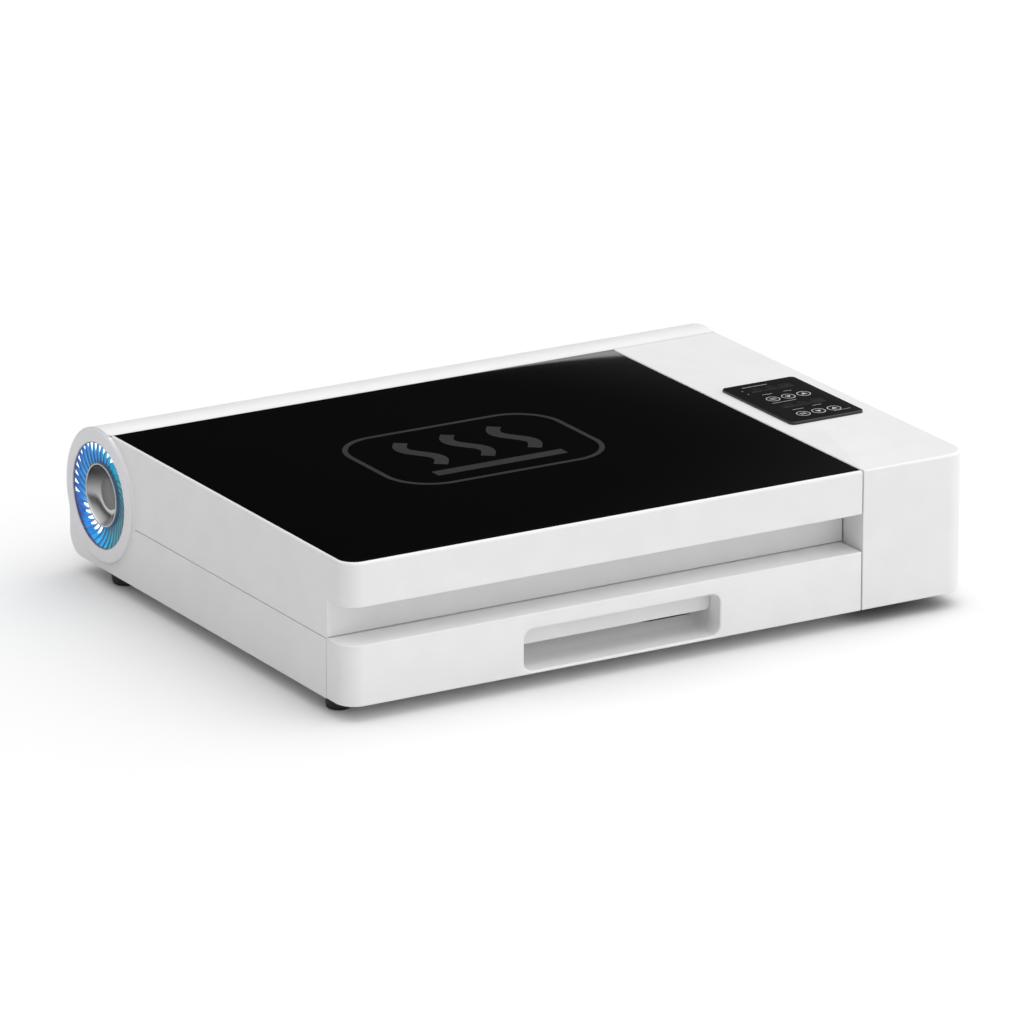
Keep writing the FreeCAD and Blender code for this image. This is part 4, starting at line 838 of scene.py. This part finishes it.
# vanes: angle = step * number - sweep * share^power + pitch * depth, share from the hub to the mouth
def makeVanes():
    skin = Skin()
    share = np.linspace(0, 1, 14)
    radius = fan["hub"] + 0.3 * mm + (fan["mouth"] - fan["hub"] - 0.4 * mm) * share
    nose = vaneNose(share)
    depth = np.linspace(0, 1, 7)
    for k in range(fan["vanes"]):
        middle = 2 * math.pi * k / fan["vanes"] - math.radians(fan["sweep"]) * share ** fan["sweepPower"]
        grids = []
        for side in (-1, 1):
            half = side * fan["vaneHalf"] * (0.7 + 0.3 * np.sin(math.pi * np.clip(depth, 0.06, 0.94)))
            turn = middle + half[:, None] / radius + math.radians(fan["pitch"]) * depth[:, None]
            stop = left + fan["vaneStart"] + fan["vaneDepth"]
            x = nose + (stop - nose) * depth[:, None]
            grids.append(np.dstack([x, ductY + radius * np.sin(turn), ductZ + radius * np.cos(turn)]))
        loop = np.concatenate([grids[0], grids[1][::-1]])
        skin.grid(loop.transpose(1, 0, 2), closed=True)
        skin.cap(loop[:, 0], flip=True).cap(loop[:, -1])
    # rims at the mouth and round the hub, in the vane material; the painted shade at the vane noses leaves
    # their fronts dark
    stop = left + fan["vaneStart"] + fan["vaneDepth"]
    for start, inner in ((left + fan["rimStart"], fan["mouth"] - fan["rimWidth"] - 0.02 * mm),
                         (left - 0.6 * mm, fan["hub"] + 0.1 * mm)):
        outer = inner + fan["rimWidth"]
        skin.grid(turnAboutDuct([start, start, stop, stop, start], [inner, outer, outer, inner, inner], 140),
                  closed=True)
    skin.build("swirlVanes", "vane_plastic", vaneGlow, replaced=["swirl_vanes"],
                      merge=1e-7, smooth=40)


# the painted-highlight wedges, in degrees round the mouth and in shares of the way from the hub to the mouth
spots = {"first": 336, "long": 36, "short": 66, "turnIn": 124, "last": 184, "longFrom": 0.45, "shortFrom": 0.72,
         "midFrom": 0.6, "rimTo": 0.98, "hubFrom": 0.02, "hubTo": 0.52, "behind": 1.1 * mm, "thick": 0.4 * mm}


# glowing wedges of painted highlight just behind the vane edges: against the mouth at the back and top, round
# the hub below
# angle = vane line + a start and a width that both follow the radius
def makePaintedHighlightWedges():
    skin = Skin()
    step = 360 / fan["vanes"]
    for k in range(fan["vanes"]):
        at = (k + 0.5) * step % 360
        top = at > spots["first"] or at < spots["long"]
        if top or at < spots["turnIn"]:
            inner = spots["shortFrom"] if at < spots["short"] else spots["midFrom"]
            inner = spots["longFrom"] if top else inner
            grow = np.linspace(0, 1, 7)
            share = inner + (spots["rimTo"] - inner) * grow
            start, width = 0.9 + 0 * grow, (1.6 if top else 0.3) + 6.4 * grow
        elif at < spots["last"]:
            grow = np.linspace(0, 1, 7)
            share = spots["hubFrom"] + (spots["hubTo"] - spots["hubFrom"]) * grow
            start, width = 0.8 + 2.2 * grow, 8.0 - 5.4 * grow ** 1.5
        else:
            continue
        radius = fan["hub"] + (fan["mouth"] - fan["hub"]) * share
        line = k * step - fan["sweep"] * share ** fan["sweepPower"]
        nose = vaneNose(share) + spots["behind"]
        rows = []
        for depth, sides in ((0.0, (0, 1)), (spots["thick"], (1, 0))):
            for side in sides:
                turn = np.radians(line + start + side * width)
                rows.append([nose + depth, ductY + radius * np.sin(turn), ductZ + radius * np.cos(turn)])
        loop = np.array(rows).transpose(2, 0, 1)
        skin.grid(loop, closed=True).cap(loop[0]).cap(loop[-1], flip=True)
    skin.build("hotSpots", "light_diffuser", hotSpots, merge=1e-7)


# a lit flat ring closing the view behind the vanes
def makeDiffuser():
    x = left + fan["vaneStart"] + fan["vaneDepth"] + fan["diffuserGap"]
    back = x + fan["diffuserThick"]
    inner, outer = fan["hub"] - 1.5 * mm, fan["mouth"] - 0.3 * mm
    rows = turnAboutDuct([x, x, back, back, x], [inner, outer, outer, inner, inner], 120)
    skin = Skin().grid(rows, closed=True)
    skin.build("lightDiffuser", "light_diffuser", diffuserGlow, replaced=["led_ring"])


# hub: a hollow bowl turned about the duct's axis, depth = dish * sine^0.9 from the lip to the flat face
def makeHub():
    lip, hub, face = fan["hubLip"], fan["hub"], fan["face"]
    a, b = quarter(lip / 2, 6)
    nose = left - fan["hubNose"]
    t = np.linspace(0, 1, 14)
    dishX = nose + lip / 2 + fan["dish"] * np.sin(math.pi / 2 * t) ** 0.9
    dishR = hub - lip - (hub - lip - face) * t
    edge = nose + lip / 2 - b
    xs = np.concatenate([[left + fan["throat"] - 2 * mm], edge, edge[::-1][1:], dishX[1:]])
    radii = np.concatenate([[hub], hub - lip / 2 + a, (hub - lip / 2 - a)[::-1][1:], dishR[1:]])
    # the dish carries the painted reflection, pale below and dark above
    Skin().grid(turnAboutDuct(xs, radii, 120), closed=True).build(
        "hubDish", "chrome_hub", hubChrome, replaced=["hub_cone"], smooth=60)
    # the lip: a ring of painted highlight round the dish's edge
    ring, half = np.linspace(0, 2 * math.pi, 13), fan["lipHalf"]
    lipX = nose + lip / 2 - 0.15 * mm - half * np.cos(ring)
    Skin().grid(turnAboutDuct(lipX, hub - lip / 2 + half * np.sin(ring), 120), closed=True).build(
        "hubLip", "chrome_hub", brightEdge, merge=1e-7, smooth=60)
    x = dishX[-1]
    disc = turnAboutDuct([x + 1 * mm, x - 0.3 * mm, x - 0.5 * mm], [face, face, face - 0.3 * mm], 90)
    Skin().closed(disc).build("hubFace", "chrome_hub", hubFace)


makeRing()
makeVanes()
makePaintedHighlightWedges()
makeDiffuser()
makeHub()
print("fan end made")

panel = lengths(corner=5, bevel=0.9, keyRadius=6.9, gap=0.3, line=0.8, ringRadius=6.35, ink=0.02, edge=0.35,
                digitHeight=9.2, digitWidth=5.4, digitPitch=14.2, segment=0.9, lift=0.01, windowCorner=0.5,
                windowEdge=0.15, windowFit=0.1, arrow=3.0, setLength=6.4, setHalf=0.55)
# captions: place from the panel's corner, length and half width; lights: place from the casing's corner;
# dome: radius and height above the panel; all in mm
panel.update(setBars=(1.3 * mm, -1.3 * mm),
             captions=((17.5, 113.6, 27, 0.6), (22.3, 86.6, 11, 0.5), (45.6, 86.8, 7, 0.45),
                       (16.5, 59.6, 26, 0.5), (22.0, 33.6, 12, 0.5), (45.2, 36.0, 9.5, 0.5),
                       (53.5, 12.2, 18, 0.4)),
             lights=((564.8, 252.0), (564.8, 241.6), (581.8, 232.8), (605.2, 232.8), (605.2, 182.8)),
             dome=((1.0, -1.5), (1.0, 0.0), (0.8, 0.12), (0.4, 0.18)))
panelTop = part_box("panel_bezel")[1].z


# panel: the outline swept up its edge and over a quarter round, its top a flat face with holes
def makePanel():
    low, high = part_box("panel_bezel")
    places, normals = outline([(low.x, low.y), (high.x, low.y), (high.x, high.y), (low.x, high.y)],
                              [panel["corner"]] * 4, steps=10)
    a, b = quarter(panel["bevel"], 4)
    inset = np.concatenate([[0], panel["bevel"] - a])
    height = np.concatenate([[low.z], high.z - panel["bevel"] + b])
    walls = sweep(places, normals, inset, height).transpose(1, 0, 2)
    skin = Skin().grid(walls, closed=True).cap(walls[0], flip=True)
    holes = []
    for name in frame["nodes"]:
        if name.endswith("_key"):
            first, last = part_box(name)
            centre = (first + last) / 2
            r = panel["keyRadius"] + panel["gap"]
            holes.append(turnUpright(centre.x, centre.y, [(r, 0)], 40)[0, :, :2])
    for name in ("timer_display", "temperature_display"):
        first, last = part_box(name)
        m = panel["windowFit"]
        holes.append(np.array([(first.x - m, first.y - m), (last.x + m, first.y - m),
                               (last.x + m, last.y + m), (first.x - m, last.y + m)]))
    skin.holed([walls[-1][:, :2]] + holes,
               lambda corners: np.column_stack([corners, np.full(len(corners), high.z)]))
    for hole in holes:
        rows = np.array([np.column_stack([hole, np.full(len(hole), z)]) for z in (high.z, low.z)])
        skin.grid(rows, closed=True)
    skin.build("panelSlab", "charcoal_panel", charcoal, replaced=["panel_bezel"])


# a flat arrow head: three corners at two heights
def drawTriangle(skin, x, y, size, up, z):
    way = 1 if up else -1
    points = [(x - size, y - 0.6 * size * way), (x + size, y - 0.6 * size * way), (x, y + size * way)]
    if way < 0:
        points = points[::-1]
    upper = [(px, py, z + panel["ink"]) for px, py in points]
    lower = [(px, py, z) for px, py in points]
    skin.cap(upper).cap(lower, flip=True).grid(np.array([lower, upper]), closed=True)


def bar(skin, x, y, length, half, z):
    ribbon(skin, [(x - length / 2, y), (x, y), (x + length / 2, y)], half, z, panel["ink"])


# keys: a disc with a quarter round edge, turned upright; its mark is a circle round two bars or an arrow
def makeKeys():
    for name in sorted(frame["nodes"]):
        if not name.endswith("_key"):
            continue
        x, y, bottom, top = stand(name)
        a, b = quarter(panel["edge"], 4)
        r = panel["keyRadius"]
        title = name.replace("_key", "").replace("_", " ").title().replace(" ", "")
        profile = [(r, bottom), *zip(r - panel["edge"] + a, top - panel["edge"] + b)]
        Skin().closed(turnUpright(x, y, profile)).build(title + "Cap", "key_cap", keyCap, name, replaced=[name])
        mark = Skin()
        z = top + panel["lift"]
        circle = turnUpright(x, y, [(panel["ringRadius"], z)])[0, :, :2]
        ribbon(mark, circle, panel["line"] / 2, z, panel["ink"], closed=True)
        if "_set_" in name:
            for offset in panel["setBars"]:
                bar(mark, x, y + offset, panel["setLength"], panel["setHalf"], z)
        else:
            drawTriangle(mark, x, y, panel["arrow"], "_up_" in name, z)
        mark.build(title + "Mark", "key_cap", paleInk, name, merge=1e-7)


# plain bars where a panel has its captions
def makeLabels():
    skin = Skin()
    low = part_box("panel_bezel")[0]
    for x, y, length, half in panel["captions"]:
        centre = low.x + (x + length / 2) * mm
        bar(skin, centre, low.y + y * mm, length * mm, half * mm, panelTop + panel["lift"])
    skin.build("captionBars", "charcoal_panel", captionInk, merge=1e-7)


# windows swept up from their outline, with unlit seven-bar figures on them
def makeDisplays():
    edge = panel["windowEdge"]
    z = panelTop + panel["lift"]
    w, h, s = panel["digitWidth"] / 2, panel["digitHeight"] / 2, panel["segment"] / 2
    for name in ("timer_display", "temperature_display"):
        first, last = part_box(name)
        places, normals = roundedHole(first.x, last.x, first.y, last.y, panel["windowCorner"], steps=3)
        rows = sweep(places, normals, np.array([0.0, 0.0, edge]),
                     np.array([first.z, panelTop - edge / 3, panelTop])).transpose(1, 0, 2)
        title = "timer" if name.startswith("timer") else "temperature"
        Skin().closed(rows).build(title + "Window", "display_window", displaySmoke, replaced=[name])
        skin = Skin()
        middle = (first.y + last.y) / 2
        for k in range(3):
            x = (first.x + last.x) / 2 + (k - 1) * panel["digitPitch"]
            for dy in (-h, 0, h):
                bar(skin, x, middle + dy * 0.92, 2 * w - 2.4 * s, s, z)
            for side in (x - w, x + w):
                for y in (middle - h / 2, middle + h / 2):
                    ribbon(skin, [(side, y - h * 0.36), (side, y + h * 0.36)], s, z, panel["ink"])
        skin.build(title + "Figures", "display_window", figureInk, merge=1e-7)


# lights: low domes turned upright
def makeLights():
    skin = Skin()
    profile = [(r * mm, panelTop + z * mm) for r, z in panel["dome"]]
    for x, y in panel["lights"]:
        skin.closed(turnUpright(left + x * mm, front + y * mm, profile, 24))
    skin.build("indicatorDomes", "indicator_lens", lensOlive, replaced=["indicator_lights"])


makePanel()
makeKeys()
makeLabels()
makeDisplays()
makeLights()
print("control panel made")

foot = lengths(radius=11.5, top=13.5, round=2.5, height=15.5, collar=3, soleInset=4, soleStep=0.35,
               collarRound=0.4)


# foot: sole, rounded lower edge, slight cone and collar as one profile turned upright
def makeFeet():
    for name in sorted(frame["nodes"]):
        if not name.startswith("foot_"):
            continue
        x, y, bottom, _ = stand(name)
        a, b = quarter(foot["round"], 5)
        collar = foot["height"] - foot["collar"]
        profile = [(foot["radius"] - foot["soleInset"] - 0.2 * mm, foot["soleStep"]),
                   (foot["radius"] - foot["soleInset"], 0.0),
                   *zip(foot["radius"] - foot["round"] + a[::-1], foot["round"] - b[::-1]),
                   (foot["top"] - foot["collarRound"], collar), (foot["top"], collar + 0.3 * mm),
                   (foot["top"], foot["height"])]
        rows = turnUpright(x, y, [(r, bottom + z) for r, z in profile])
        title = name.title().replace("_", "")
        Skin().closed(rows).build(title[0].lower() + title[1:], "rubber", blackRubber,
                                  replaced=[name], smooth=40)


makeFeet()
print("feet made")

bpy.context.view_layer.update()
